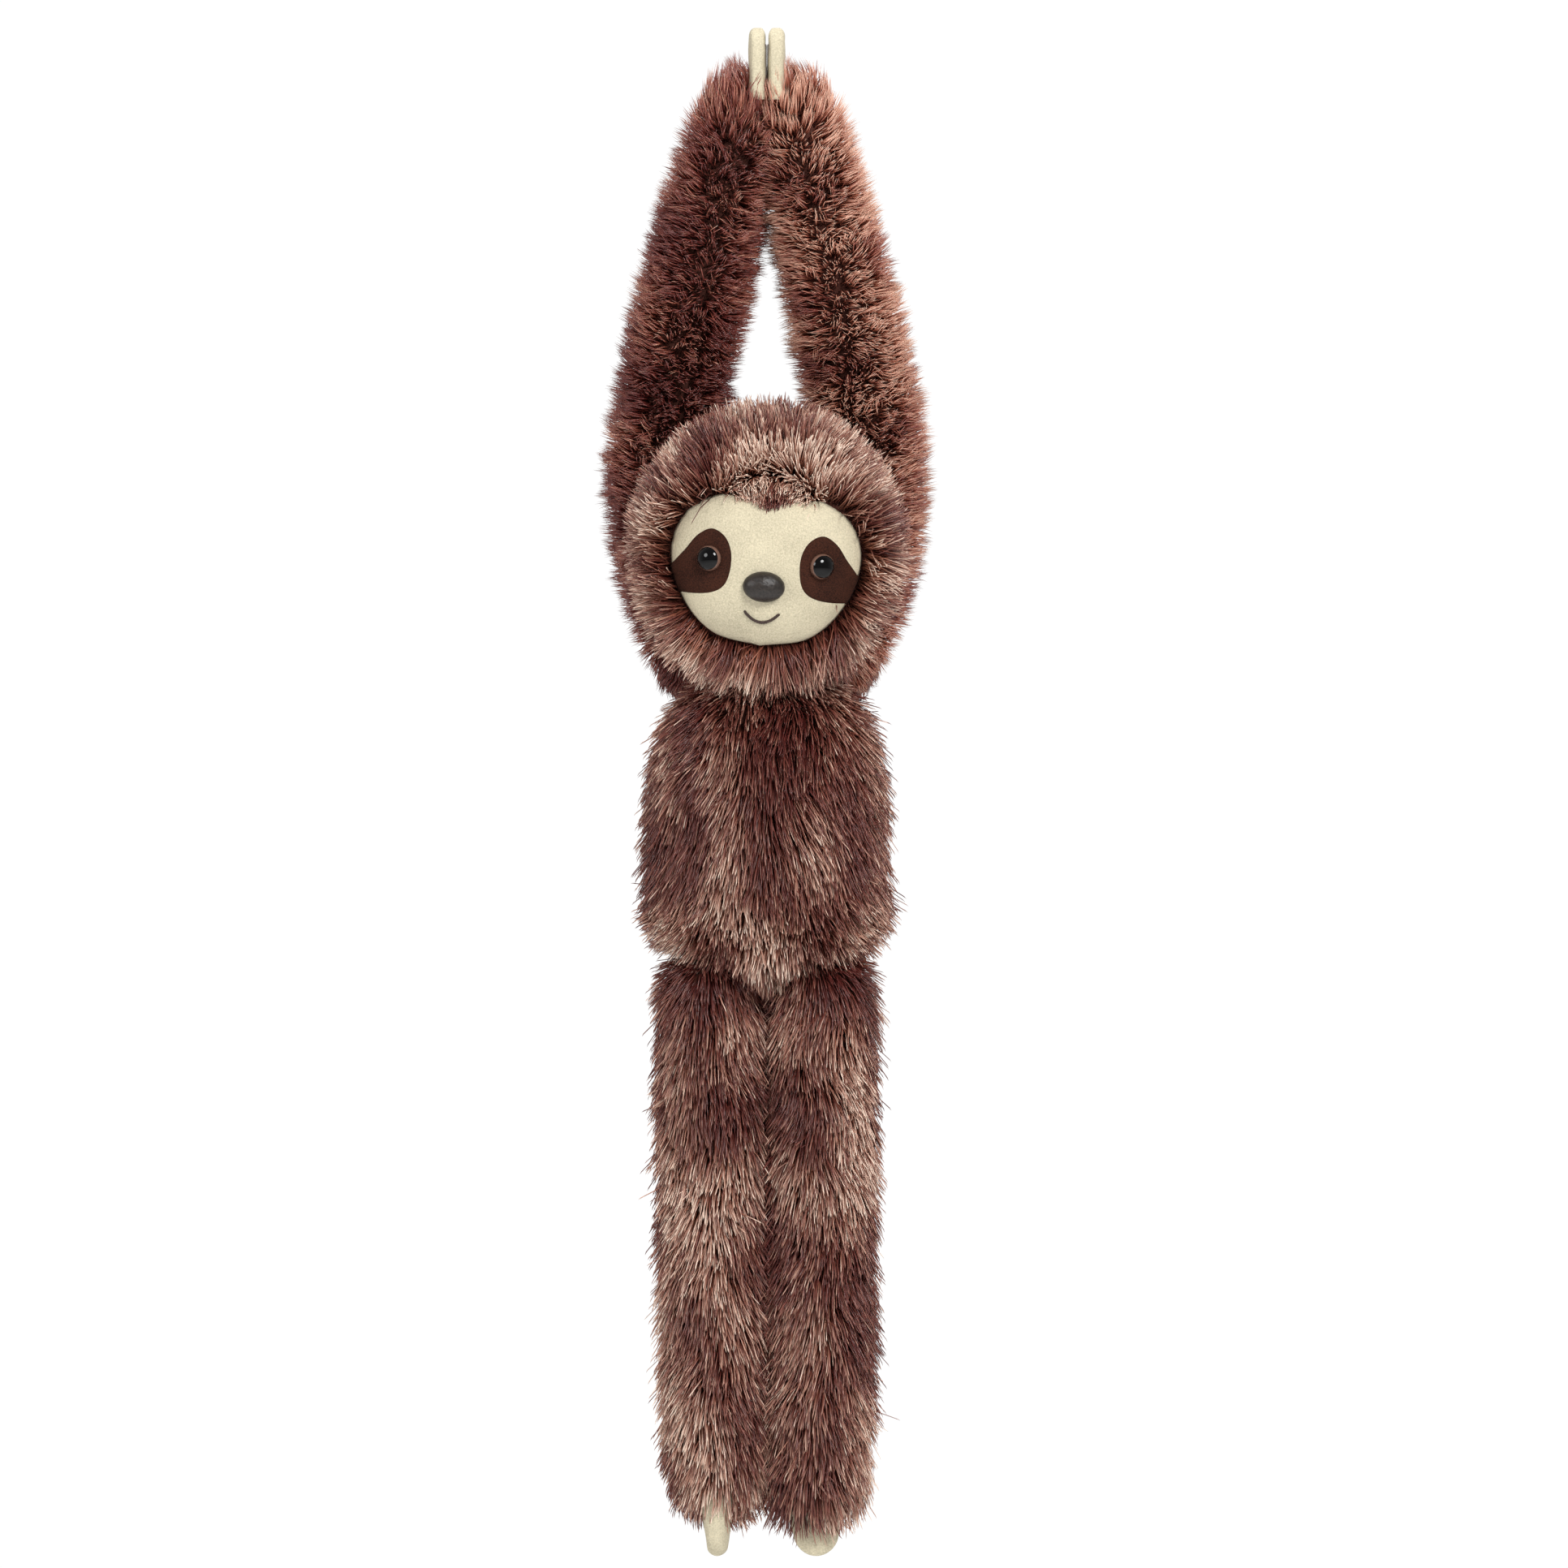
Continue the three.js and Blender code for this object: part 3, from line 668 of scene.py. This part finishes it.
def make_head():
    """The head's skin, the fur round the face, and the face."""
    rng = np.random.default_rng(23)
    edge = face_edge()
    half = head_half - SKIN_IN
    around = 64
    rise = np.linspace(0.02, math.pi - 0.02, 40)
    turn = np.linspace(0, 2 * math.pi, around, endpoint=False)
    rings = [np.stack([half[0] * math.sin(r) * np.cos(turn), half[1] * math.sin(r) * np.sin(turn),
                       np.full(around, -half[2] * math.cos(r))], axis=1) for r in rise]
    points, faces = closed_rings(rings)
    sunk = np.where(points[:, 1:2] < 0, 0.96, 1)  # the front lies under the face cloth
    skin("head_skin", from_head(points * sunk), faces,
         ["head_cover", "head_stuffing"], body="head")

    def outside_face(places):
        local = to_head(places)
        rel = local[:, [0, 2]] - FACE_MIDDLE
        reach = edge_reach(edge, np.arctan2(rel[:, 1], rel[:, 0]))
        behind = local[:, 1] > -3 * MM
        return behind | (np.linalg.norm(rel, axis=1) > reach - 0.5 * MM)

    def on_brow(places):
        return outside_face(places) & (brow_peak(to_head(places)) > 0.1)

    roots, normals = (np.vstack(pair) for pair in zip(
        sample_skin(from_head(points), faces, 1.5, rng, outside_face),
        sample_skin(from_head(points), faces, 3.0, rng, on_brow)))
    local = to_head(roots)
    rel = local[:, [0, 2]] - FACE_MIDDLE
    away = unit(rel)
    past_edge = (np.linalg.norm(rel, axis=1)
                 - edge_reach(edge, np.arctan2(rel[:, 1], rel[:, 0])))
    peak = brow_peak(local)[:, None]
    zero = np.zeros(len(roots))
    lean = np.stack([away[:, 0], zero + 0.35, away[:, 1]], axis=1) * 1.3
    inwards = np.stack([-local[:, 0] / (15 * MM), zero, zero - 1.3], axis=1)
    lean = lean * (1 - peak) + peak * inwards
    below = fade(local[:, 2], -18 * MM, -28 * MM)
    lean = lean + below[:, None] * np.array([0, -0.4, -0.6])
    lean = lean @ head_turn.T
    rim = fade(past_edge, 3.5 * MM, 0) * (1 - below)
    sway = np.stack([lumps(roots, 0.013, 1.0, 5), zero, lumps(roots, 0.013, 1.0, 6)], axis=1)
    aside = (rim * (1 - peak[:, 0]))[:, None]
    lean = lean * (1 - 0.85 * aside) + 0.9 * aside * FRONT + sway * (1 - 0.9 * peak)
    over = (local[:, 2] - PEAK_HEIGHT + 2 * MM - 0.3 * np.abs(local[:, 0])) / (13 * MM)
    longer = 1 + peak[:, 0] * (np.clip(over, 0.15, 1.2) - 1) + 0.12 * below
    arch = fade(local[:, 2], PEAK_HEIGHT + 3 * MM, PEAK_HEIGHT + 9 * MM)
    parting = 4 * peak[:, 0] * (1 - peak[:, 0])
    stand = (0.68 - peak[:, 0] * (0.38 - 0.34 * arch), 0.5 - 0.46 * peak[:, 0])
    front = local[:, 1] < -2 * MM
    high = local[:, 2] > 0
    for part, chosen in (("front", front), ("crown", ~front & high), ("nape", ~front & ~high)):
        look = dict(length=FUR_LENGTH["head"], width=STRAND_WIDTH,
                    spread=0.14 if part == "front" else 0.18,
                    stops=CUT_PILE, blunt=0.6, stand=[s[chosen] for s in stand],
                    pull=np.zeros(3), every=6 if part == "front" else 9,
                    clump=0.5 - 0.3 * np.maximum(peak[chosen, 0], parting[chosen]),
                    longer=longer[chosen], tone=blotches(0.012, 0.2, 0.88, 7),
                    # 0.4 * parting is painted light, which lifts the shade where the strands part
                    # above the brow
                    paler=(0.12 * rim + 0.4 * parting)[chosen])
        made = fur(f"head_fur_{part}", roots[chosen], normals[chosen], lean[chosen], look, rng)
        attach(made, "head")
    make_face(edge)


def face_sheet(name, edge, middle, lift, thick, material, nodes, rings=22):
    """A panel on the front of the head inside a closed edge, with a rolled-under rim."""
    around = len(edge)
    shares = np.linspace(0.03, 1, rings)
    levels = [(s, lift - thick * 0.7 * max(0, (s - 0.955) / 0.045) ** 2) for s in shares]
    outer = []
    for share, up in levels:
        flat = middle + (edge - middle) * share
        outer.append(on_head(flat[:, 0], flat[:, 1], np.full(around, up))[0])
    flat = middle + (edge - middle) * 0.995
    under = on_head(flat[:, 0], flat[:, 1], np.full(around, lift - thick))[0]
    back = middle + (edge - middle) * 0.4
    back = on_head(back[:, 0], back[:, 1], np.full(around, lift - thick))[0]
    points, faces = closed_rings([*outer, under, back])
    made = mesh_object(name, from_head(points), faces, material)
    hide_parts(*nodes)
    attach(made, "head")


# The right eye patch from its top round by its inner side, in mm from the eye
PATCH_CORNERS = [(0, 10.3), (-5, 7.2), (-7.3, 0.5), (-5.9, -8.2), (-0.5, -11.9),
                 (9.5, -12.1), (14.5, -9), (14.5, -4.6), (8.9, 2.7), (5, 7.8)]


def patch_edge(side, edge, spread, drop):
    """The closed edge of an eye patch, kept inside the face panel."""
    corners = np.array(PATCH_CORNERS) * MM
    corners = np.stack([side * (spread + corners[:, 0]), corners[:, 1] - drop], axis=1)
    ring = np.vstack([corners[-1], corners, corners[0], corners[1]])
    t = np.linspace(0, 1, 14, endpoint=False)[:, None]
    loop = np.vstack([catmull_rom(*ring[i:i + 4], t) for i in range(len(ring) - 3)])
    rel = loop - FACE_MIDDLE
    reach = edge_reach(edge, np.arctan2(rel[:, 1], rel[:, 0])) - 0.35 * MM
    far = np.linalg.norm(rel, axis=1)
    return FACE_MIDDLE + rel * np.minimum(1, reach / far)[:, None]


def set_out(points, place, out):
    """Points made around +Z, set at a place with +Z pointing out."""
    turn = Vector((0, 0, 1)).rotation_difference(Vector(out)).to_matrix()
    return np.asarray(points) @ np.array(turn).T + place


WASHER_OUT = 1.06  # the washers lie inside the head: this puts their x and z on its front
EYE_RADIUS, EYE_DOME, EYE_RIM = 4.35 * MM, 2.9 * MM, 0.9 * MM
PUPIL = 4.02 * MM
NOSE_HALF = np.array([7.2, 5.3, 4.4]) * MM
SMILE_HALF, SMILE_DROP, SMILE_CURVE, THREAD = 5.8 * MM, 25.8, 3.2, 0.5 * MM


def dome(radius, height, flat, around=40):
    """Rings of a round dome around +Z on a short rim, from its back to its crown."""
    rings = 18
    turn = np.linspace(0, 2 * math.pi, around, endpoint=False)
    circle = np.stack([np.cos(turn), np.sin(turn), 0 * turn], axis=1)
    made = [circle * radius * 0.9, circle * radius + [0, 0, 0.1 * MM]]
    for i in range(rings):
        rise = i / rings * math.pi / 2
        made.append(circle * radius * math.cos(rise)
                    + [0, 0, flat + height * math.sin(rise)])
    made.append(circle * radius * 0.02 + [0, 0, flat + height * 0.9999])
    return made


def make_face(edge):
    spots = {name: to_head(middle(f"{name}_eye_washer")) for name in SIDES}
    spread = (spots["right"][0] - spots["left"][0]) / 2 * WASHER_OUT
    drop = -(spots["right"][2] + spots["left"][2]) / 2 * WASHER_OUT
    face_sheet("face_cloth", edge, FACE_MIDDLE, 0.3 * MM, 1.4 * MM, materials["cream"],
               ["face_panel"])
    for name, side in SIDES.items():
        loop = patch_edge(side, edge, spread, drop)
        face_sheet(f"{name}_patch_cloth", loop, loop.mean(0), 0.75 * MM, 0.8 * MM,
                   materials["patch"], [f"{name}_eye_patch"], rings=12)
        place, out = on_head(side * spread, -drop, np.array(0.75 * MM))
        place, out = from_head(place), out @ head_turn.T
        points, faces = closed_rings(dome(EYE_RADIUS, EYE_DOME, EYE_RIM))
        # the rim round the pupil carries a painted reflection of the plastic's edge
        eye = mesh_object(f"{name}_eye_dome", set_out(points, place, out), faces,
                          materials["iris"])
        eye.data.materials.append(materials["pupil"])
        wide = np.linalg.norm(points[:, :2], axis=1)
        for face in eye.data.polygons:
            if max(wide[v] for v in face.vertices) < PUPIL:
                face.material_index = 1
        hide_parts(f"{name}_eye")
        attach(eye, "head")
    make_nose()
    make_mouth()


def make_nose():
    """An oval moulded nose with a fine uneven grain."""
    nose_drop = -to_head(middle("nose_washer"))[2] * WASHER_OUT
    place, out = on_head(0.0, -nose_drop, np.array(0.0))
    points, faces = closed_rings(dome(1, 1, 0.12, around=56))
    points = points * NOSE_HALF
    grain = lumps(points, 0.0008, 0.10 * MM, 9)
    points = points + unit(points) * grain[:, None]
    nose = mesh_object("nose_moulding", from_head(set_out(points, place, out)), faces,
                       materials["nose"])
    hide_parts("nose")
    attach(nose, "head")


def make_mouth():
    """Short overlapping satin stitches along the smile."""
    stitches, points, faces = 15, [], []
    for i in range(stitches):
        share = -1 + 2 * (i + 0.5) / stitches
        ends = [share - 0.105, share + 0.105]
        x = np.array(ends) * SMILE_HALF
        z = (SMILE_CURVE * np.array(ends) ** 2 - SMILE_DROP) * MM
        z += np.array([0.16, -0.16]) * MM
        line, out = on_head(x, z, np.full(2, 0.55 * MM))
        along = unit(line[1] - line[0])
        side = unit(np.cross(along, out[0]))
        turn = np.linspace(0, 2 * math.pi, 10, endpoint=False)[:, None]
        circle = np.cos(turn) * side + np.sin(turn) * out[0]
        rings = [line[0] + (line[1] - line[0]) * s + circle * THREAD * w
                 for s, w in ((0, 0.35), (0.12, 0.85), (0.5, 1), (0.88, 0.85), (1, 0.35))]
        p, f = closed_rings(rings)
        faces += [tuple(v + len(points) for v in face) for face in f]
        points += list(p)
    mouth = mesh_object("smile_stitches", from_head(points), faces, materials["thread"])
    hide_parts("mouth_stitching")
    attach(mouth, "head")


# ---------------------------------------------------------------- limbs


RINGS, AROUND = 30, 36


class Limb:
    """A round limb along a path, with a radius at each share of its length."""

    def __init__(self, points, radii):
        self.path = spline(points, np.linspace(0, 1, 400))
        steps = np.linalg.norm(np.diff(self.path, axis=0), axis=1)
        self.far = np.concatenate([[0], np.cumsum(steps)])
        self.length = self.far[-1]
        self.radii = radii

    def at(self, far):
        far = np.atleast_1d(far)
        place = np.stack([np.interp(far, self.far, self.path[:, k]) for k in range(3)], axis=1)
        ahead = np.stack([np.interp(far + MM, self.far, self.path[:, k]) for k in range(3)], 1)
        behind = np.stack([np.interp(far - MM, self.far, self.path[:, k]) for k in range(3)], 1)
        return place, unit(ahead - behind)

    def far_at(self, point):
        return self.far[np.argmin(np.linalg.norm(self.path - point, axis=1))]

    def radius(self, far):
        marks = np.array(self.radii, float)
        return np.interp(far / self.length, marks[:, 0], marks[:, 1])

    def rings(self, start, end):
        far = start + (end - start) * (1 - np.cos(np.linspace(0, math.pi, RINGS))) / 2
        place, along = self.at(far)
        depth = unit(np.array([0, 1.0, 0]) - along * along[:, 1:2])
        across = np.cross(depth, along)
        turn = np.linspace(0, 2 * math.pi, AROUND, endpoint=False)
        return [p + self.radius(f) * (np.cos(turn)[:, None] * a + np.sin(turn)[:, None] * d)
                for p, f, a, d in zip(place, far, across, depth)]


def make_limb(name, limb, cuts, look_of, per_mm2, seed):
    """A skin and a fur up to each cut: (where it ends, blend, CAD nodes, part name).

    look_of gives the lean and the look of strands from roots, normals and ways along.
    """
    rng = np.random.default_rng(seed)
    start = 0.0
    for end, blend, nodes, part in cuts:
        points, faces = closed_rings(limb.rings(start, end))
        axis = np.array([limb.path[np.argmin(((limb.path - p) ** 2).sum(1))] for p in points])
        out = unit(points - axis)
        points = points + out * lumps(points, 0.018, 0.7 * MM, seed)[:, None]
        skin(f"{name}_{part}_skin", points, faces, nodes, blend=blend)
        furry = grid_faces(RINGS, AROUND)
        ends = faces[len(furry):]
        if start == 0:
            furry += ends[:AROUND]
        if end == limb.length:
            furry += ends[AROUND:]
        roots, normals = sample_skin(points, furry, per_mm2, rng)
        far = limb.far[np.array([np.argmin(((limb.path - p) ** 2).sum(1)) for p in roots])]
        lean, look = look_of(roots, normals, far)
        made = fur(f"{name}_{part}_fur", roots, normals, lean, look, rng)
        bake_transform(made)
        start = end


ARM_TONES_WITH_PAINTED_LIGHT_AND_SHADE = {"left": (0.06, 0.62), "right": (0.46, 1.17)}  # the left arm's pile is darker, painted shade, and the right arm's paler, painted light
LEG_END = {"left": -0.08, "right": 0.12}  # how much longer the pile is at each leg's end


def make_arm(name, side):
    """A raised arm from the shoulder to the hand, bent a little at its elbow."""
    shoulder, elbow, wrist = (pivot(f"{name}_{j}") for j in ("arm_out", "elbow", "wrist"))
    low, high = (np.array(p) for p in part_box(f"{name}_upper_arm_cover"))
    radius = 13 * MM
    outer = (low if side < 0 else high)[0]
    bow = np.array([outer - side * radius, high[1] - radius,
                    shoulder[2] + 0.32 * (wrist[2] - shoulder[2])])
    crown = np.array([side * (radius + 10 * MM), 10 * MM, 0.0])
    tip = wrist + [side * 3.4 * MM, 0, 2.5 * MM]
    limb = Limb([shoulder, bow, elbow, crown, tip],
                [(0, 3 * MM), (0.012, 6.5 * MM), (0.03, 8.2 * MM), (0.1, 9.4 * MM),
                 (0.2, 12 * MM), (0.26, 12.6 * MM), (0.70, 12.4 * MM), (0.84, 11 * MM),
                 (0.94, 9.4 * MM), (0.98, 8 * MM), (0.995, 6 * MM), (1, 3.5 * MM)])
    near = 14 * MM
    at_elbow = limb.far_at(elbow)
    bend = limb.at(np.array([at_elbow - near, at_elbow + near]))[0]
    to_wrist = limb.at(np.array([limb.length - 11 * MM, limb.length - 1 * MM]))[0]
    from_shoulder = limb.at(np.array([1 * MM, 20 * MM]))[0]
    cuts = [
        (at_elbow - 45 * MM, (f"{name}_shoulder", f"{name}_upper_arm", *from_shoulder),
         [f"{name}_arm_gather"], "arm_root"),
        (at_elbow + 40 * MM, (f"{name}_upper_arm", f"{name}_forearm", *bend),
         [f"{name}_upper_arm_cover", f"{name}_upper_arm_stuffing"], "arm_middle"),
        (limb.length, (f"{name}_forearm", f"{name}_hand", *to_wrist),
         [f"{name}_forearm_cover", f"{name}_forearm_stuffing"], "arm_top"),
    ]

    def look_of(roots, _, far):
        root = 1 - ease(far, 4 * MM, 34 * MM)
        end = ease(far, limb.length - 21 * MM, limb.length - 5 * MM)
        sway = [lumps(roots, 0.016, 1.3, seed + side) for seed in (31, 37)]
        up = 0.6 - 1.8 * root + 1.0 * end
        lean = np.stack([sway[0] + 0.25 * side * root, sway[1], up], axis=1)
        pull = np.zeros((len(roots), 3))
        pull[:, 2] = 0.7 * end
        look = dict(length=FUR_LENGTH["arm"], width=ARM_STRAND_WIDTH, clump=0.6, every=7,
                    spread=0.16,
                    stand=(0.8 - 0.35 * root, 0.66 - 0.45 * root - 0.62 * end),
                    stops=FINE_PILE, blunt=0.45, pull=pull, pile="arm_pile",
                    longer=1 - 0.3 * root + 0.32 * end,
                    # the arm's tone range carries painted shade on the left arm and painted light
                    # on the right
                    tone=blotches(0.016, *ARM_TONES_WITH_PAINTED_LIGHT_AND_SHADE[name], 41 + side),
                    paler=0.25 * ease(far, limb.length - 70 * MM, limb.length - 10 * MM))
        return lean, look

    make_limb(name, limb, cuts, look_of, 1.5, 50 + side)


def make_leg(name, side):
    """A hanging leg, whose pile is short under the torso's and long between the legs."""
    hip, knee, ankle = (pivot(f"{name}_{j}") for j in ("leg_out", "knee", "ankle"))
    limb = Limb([hip + [0, 0, 5 * MM], knee, ankle],
                [(0, 6.5 * MM), (0.015, 10 * MM), (0.045, 12 * MM), (0.85, 12.2 * MM),
                 (0.95, 11 * MM), (0.985, 8.5 * MM), (1, 5 * MM)])
    near = 13 * MM
    at_knee = limb.far_at(knee)
    bend = limb.at(np.array([at_knee - near, at_knee + near]))[0]
    from_hip = limb.at(np.array([2 * MM, 18 * MM]))[0]
    to_ankle = limb.at(np.array([limb.length - 10 * MM, limb.length]))[0]
    cuts = [
        (at_knee - 35 * MM, (f"{name}_hip", f"{name}_thigh", *from_hip),
         [f"{name}_leg_gather"], "leg_root"),
        (at_knee + 30 * MM, (f"{name}_thigh", f"{name}_shin", *bend),
         [f"{name}_thigh_cover", f"{name}_thigh_stuffing"], "leg_middle"),
        (limb.length, (f"{name}_shin", f"{name}_foot", *to_ankle),
         [f"{name}_shin_cover", f"{name}_shin_stuffing"], "leg_end"),
    ]

    def look_of(roots, normals, far):
        top = 1 - ease(far, 2 * MM, 22 * MM)
        end = ease(far, limb.length - 24 * MM, limb.length)
        across = (roots[:, 0] - hip[0]) / (12 * MM)
        inner = np.clip(-side * across, 0, 1)
        behind = inner * np.clip(0.5 + 2 * normals[:, 1], 0, 1)
        outer = np.clip(side * across, 0, 1)
        under = top * (1 - behind) * (1 - outer)
        outwards = np.clip(across, -1, 1) * (0.45 - 0.2 * inner)
        lean = np.stack([outwards + lumps(roots, 0.016, 0.8, 61 + side),
                         0.2 * normals[:, 1], np.full(len(roots), -1.1)], axis=1)
        pull = np.zeros((len(roots), 3))
        pull[:, 2] = -0.15 - 0.3 * end
        look = dict(length=FUR_LENGTH["leg"], width=STRAND_WIDTH, clump=0.4, every=5,
                    spread=0.13,
                    stand=(0.57 + 0.25 * behind - 0.3 * under,
                           0.22 + 0.35 * behind - 0.14 * under + 0.1 * top * outer),
                    stops=CUT_PILE, blunt=0.65, pull=pull,
                    longer=1 - 0.3 * under - 0.2 * top * outer + 0.2 * behind
                    + LEG_END[name] * end,
                    tone=blotches(0.013, 0.16, 0.84, 71 + side, 2.6),
                    # painted shade: the pile is darker at the leg's top under the torso's hem and
                    # on its inner side between the legs
                    paler=-0.2 * top - 0.2 * inner ** 2)
        return lean, look

    make_limb(name, limb, cuts, look_of, 1.3, 80 + side)


# ---------------------------------------------------------------- claw mitts


TUCKED = 0.16  # share of a claw mitt's length that is hidden in the limb's fur
NARROWER = 0.4  # how much narrower a mitt is at its tip than at its wrist
ROUND_FROM = 0.66  # the share of the length where the outline starts to round off
THIN_FROM = 0.86  # and where the mitt starts to thin to its tip
RIM_GROWTH = 1.68 * MM  # how far the rim of a hand's mitt swells towards the other hand


def mitt(name, node, along, across, body, nodes, tip_thickness, inwards=None):
    """A flat stuffed claw mitt in the box of its CAD mitt, from its wrist to its tip.

    The rim of a hand's mitt closes round the pads between the hands, so it swells inwards.
    """
    place = middle(node)
    along, across = unit(along), unit(across)
    through = np.cross(along, across)
    corners = np.array([v.co for v in bpy.data.objects[node].data.vertices]) - place
    half_length, half_width, half_thick = (
        np.abs(corners @ axis).max() for axis in (along, across, through))
    around, count = 48, 34
    turn = np.linspace(0, 2 * math.pi, around, endpoint=False)
    rings = []
    for share in 1 - (1 + TUCKED) * (1 - np.linspace(0, 1, count)) ** 1.5:
        width = 1 - NARROWER * max(share, 0)
        width *= math.sqrt(max(1 - max(0, (share - ROUND_FROM) / 0.342) ** 2.4, 0))
        thick = 1 - (1 - tip_thickness) * max(share, 0)
        thick *= math.sqrt(max(1 - max(0, (share - THIN_FROM) / 0.141) ** 2, 0.02))
        a = np.sign(np.cos(turn)) * np.abs(np.cos(turn)) ** 0.8 * half_width * width
        b = np.sign(np.sin(turn)) * np.abs(np.sin(turn)) ** 0.72 * half_thick * thick
        ring = (place + along * half_length * (2 * share - 1)
                + a[:, None] * across + b[:, None] * through)
        if inwards is not None:
            facing = b * np.sign(through @ inwards) > 0
            rim = ease(np.abs(a) / (half_width * width), 0.42, 0.6) * facing
            ring = ring + rim[:, None] * inwards
        rings.append(ring)
    points, faces = closed_rings(rings)
    points = points + lumps(points, 0.006, 0.3 * MM, 5)[:, None] * through
    made = mesh_object(f"{name}_claws", points, faces, materials["cream"])
    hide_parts(*nodes)
    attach(made, body)


HOOK = 0.16 * MM  # radius of a hook's root


def make_pad(node, side):
    """A hook or loop pad, with rows of small hooks on the face towards the other hand."""
    place, half = middle(node), size_of(node) / 2
    rng = np.random.default_rng(91 + side)
    x = np.array([-1, 1]) * half[0]
    box = np.array([(i, j * half[1], k * half[2]) for i in x for j in (-1, 1) for k in (-1, 1)])
    faces = [(0, 1, 3, 2), (4, 6, 7, 5), (0, 4, 5, 1), (2, 3, 7, 6), (0, 2, 6, 4), (1, 5, 7, 3)]
    points = list(box)
    inner = -side * half[0]
    for j in np.linspace(-0.94, 0.94, 20):
        for k in np.linspace(-0.94, 0.94, 20):
            base = np.array([inner, j * half[1], k * half[2]]) + rng.normal(0, 0.05 * MM, 3)
            base[0] = inner + side * 0.15 * MM
            tip = base + [-side * 0.32 * MM, *rng.normal(0, 0.14 * MM, 2)]
            start = len(points)
            for turn in (0, 2.1, 4.2):
                points.append(base + [0, HOOK * math.cos(turn), HOOK * math.sin(turn)])
            points.append(tip)
            faces += [(start + a, start + b, start + 3) for a, b in ((0, 1), (1, 2), (2, 0))]
            faces.append((start + 2, start + 1, start))
    made = mesh_object(f"{node}_tape", np.array(points) + place, faces, materials["pad"], False)
    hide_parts(node)
    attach(made, "left_hand" if side < 0 else "right_hand")


def make_mitts():
    for name, side in SIDES.items():
        mitt(f"{name}_hand", f"{name}_hand_mitt", UP, -FRONT, f"{name}_hand",
             [f"{name}_hand_mitt", f"{name}_hand_batting"], 0.92,
             np.array([-side * RIM_GROWTH, 0, 0]))
        width_axis = np.array(joints[f"{name}_ankle"]["axis"], float)
        mitt(f"{name}_foot", f"{name}_foot_mitt", -UP, width_axis, f"{name}_foot",
             [f"{name}_foot_mitt", f"{name}_foot_batting"], 0.5)
    make_pad("hook_pad", -1)
    make_pad("loop_pad", 1)


def make_neck():
    """The gathered neck, a soft ball under the chin's fur."""
    place, half = middle("neck_gather"), size_of("neck_gather") / 2
    around, swell = 32, 1.15
    turn = np.linspace(0, 2 * math.pi, around, endpoint=False)
    rings = [np.stack([half[0] * swell * math.sin(r) * np.cos(turn),
                       half[1] * swell * math.sin(r) * np.sin(turn),
                       np.full(around, -half[2] * math.cos(r))], axis=1) + place
             for r in np.linspace(0.05, math.pi - 0.05, 16)]
    points, faces = closed_rings(rings)
    skin("neck_skin", points, faces, ["neck_gather"], body="neck")


def dress_washers():
    """The washers keep their CAD shape, and get their moulded plastic."""
    for name in ("left_eye_washer", "right_eye_washer", "nose_washer"):
        for slot in bpy.data.objects[name].material_slots:
            slot.material = materials["washer"]


FLOOR_DROP = 0.55


def make_floor():
    """A plain pale floor below the toy, which hangs clear of it."""
    z = cad_box[0].z - FLOOR_DROP
    bpy.ops.mesh.primitive_circle_add(vertices=96, radius=3, fill_type="NGON",
                                      location=(0, 0, z))
    floor = bpy.context.object
    floor.name = "floor"
    floor.data.materials.append(plain("pale_floor", (0.93, 0.93, 0.93, 1), 0.9))


make_camera()
make_light()
materials = make_materials()
make_floor()
make_torso()
make_neck()
make_head()
for limb_name, limb_side in SIDES.items():
    make_arm(limb_name, limb_side)
    make_leg(limb_name, limb_side)
make_mitts()
dress_washers()
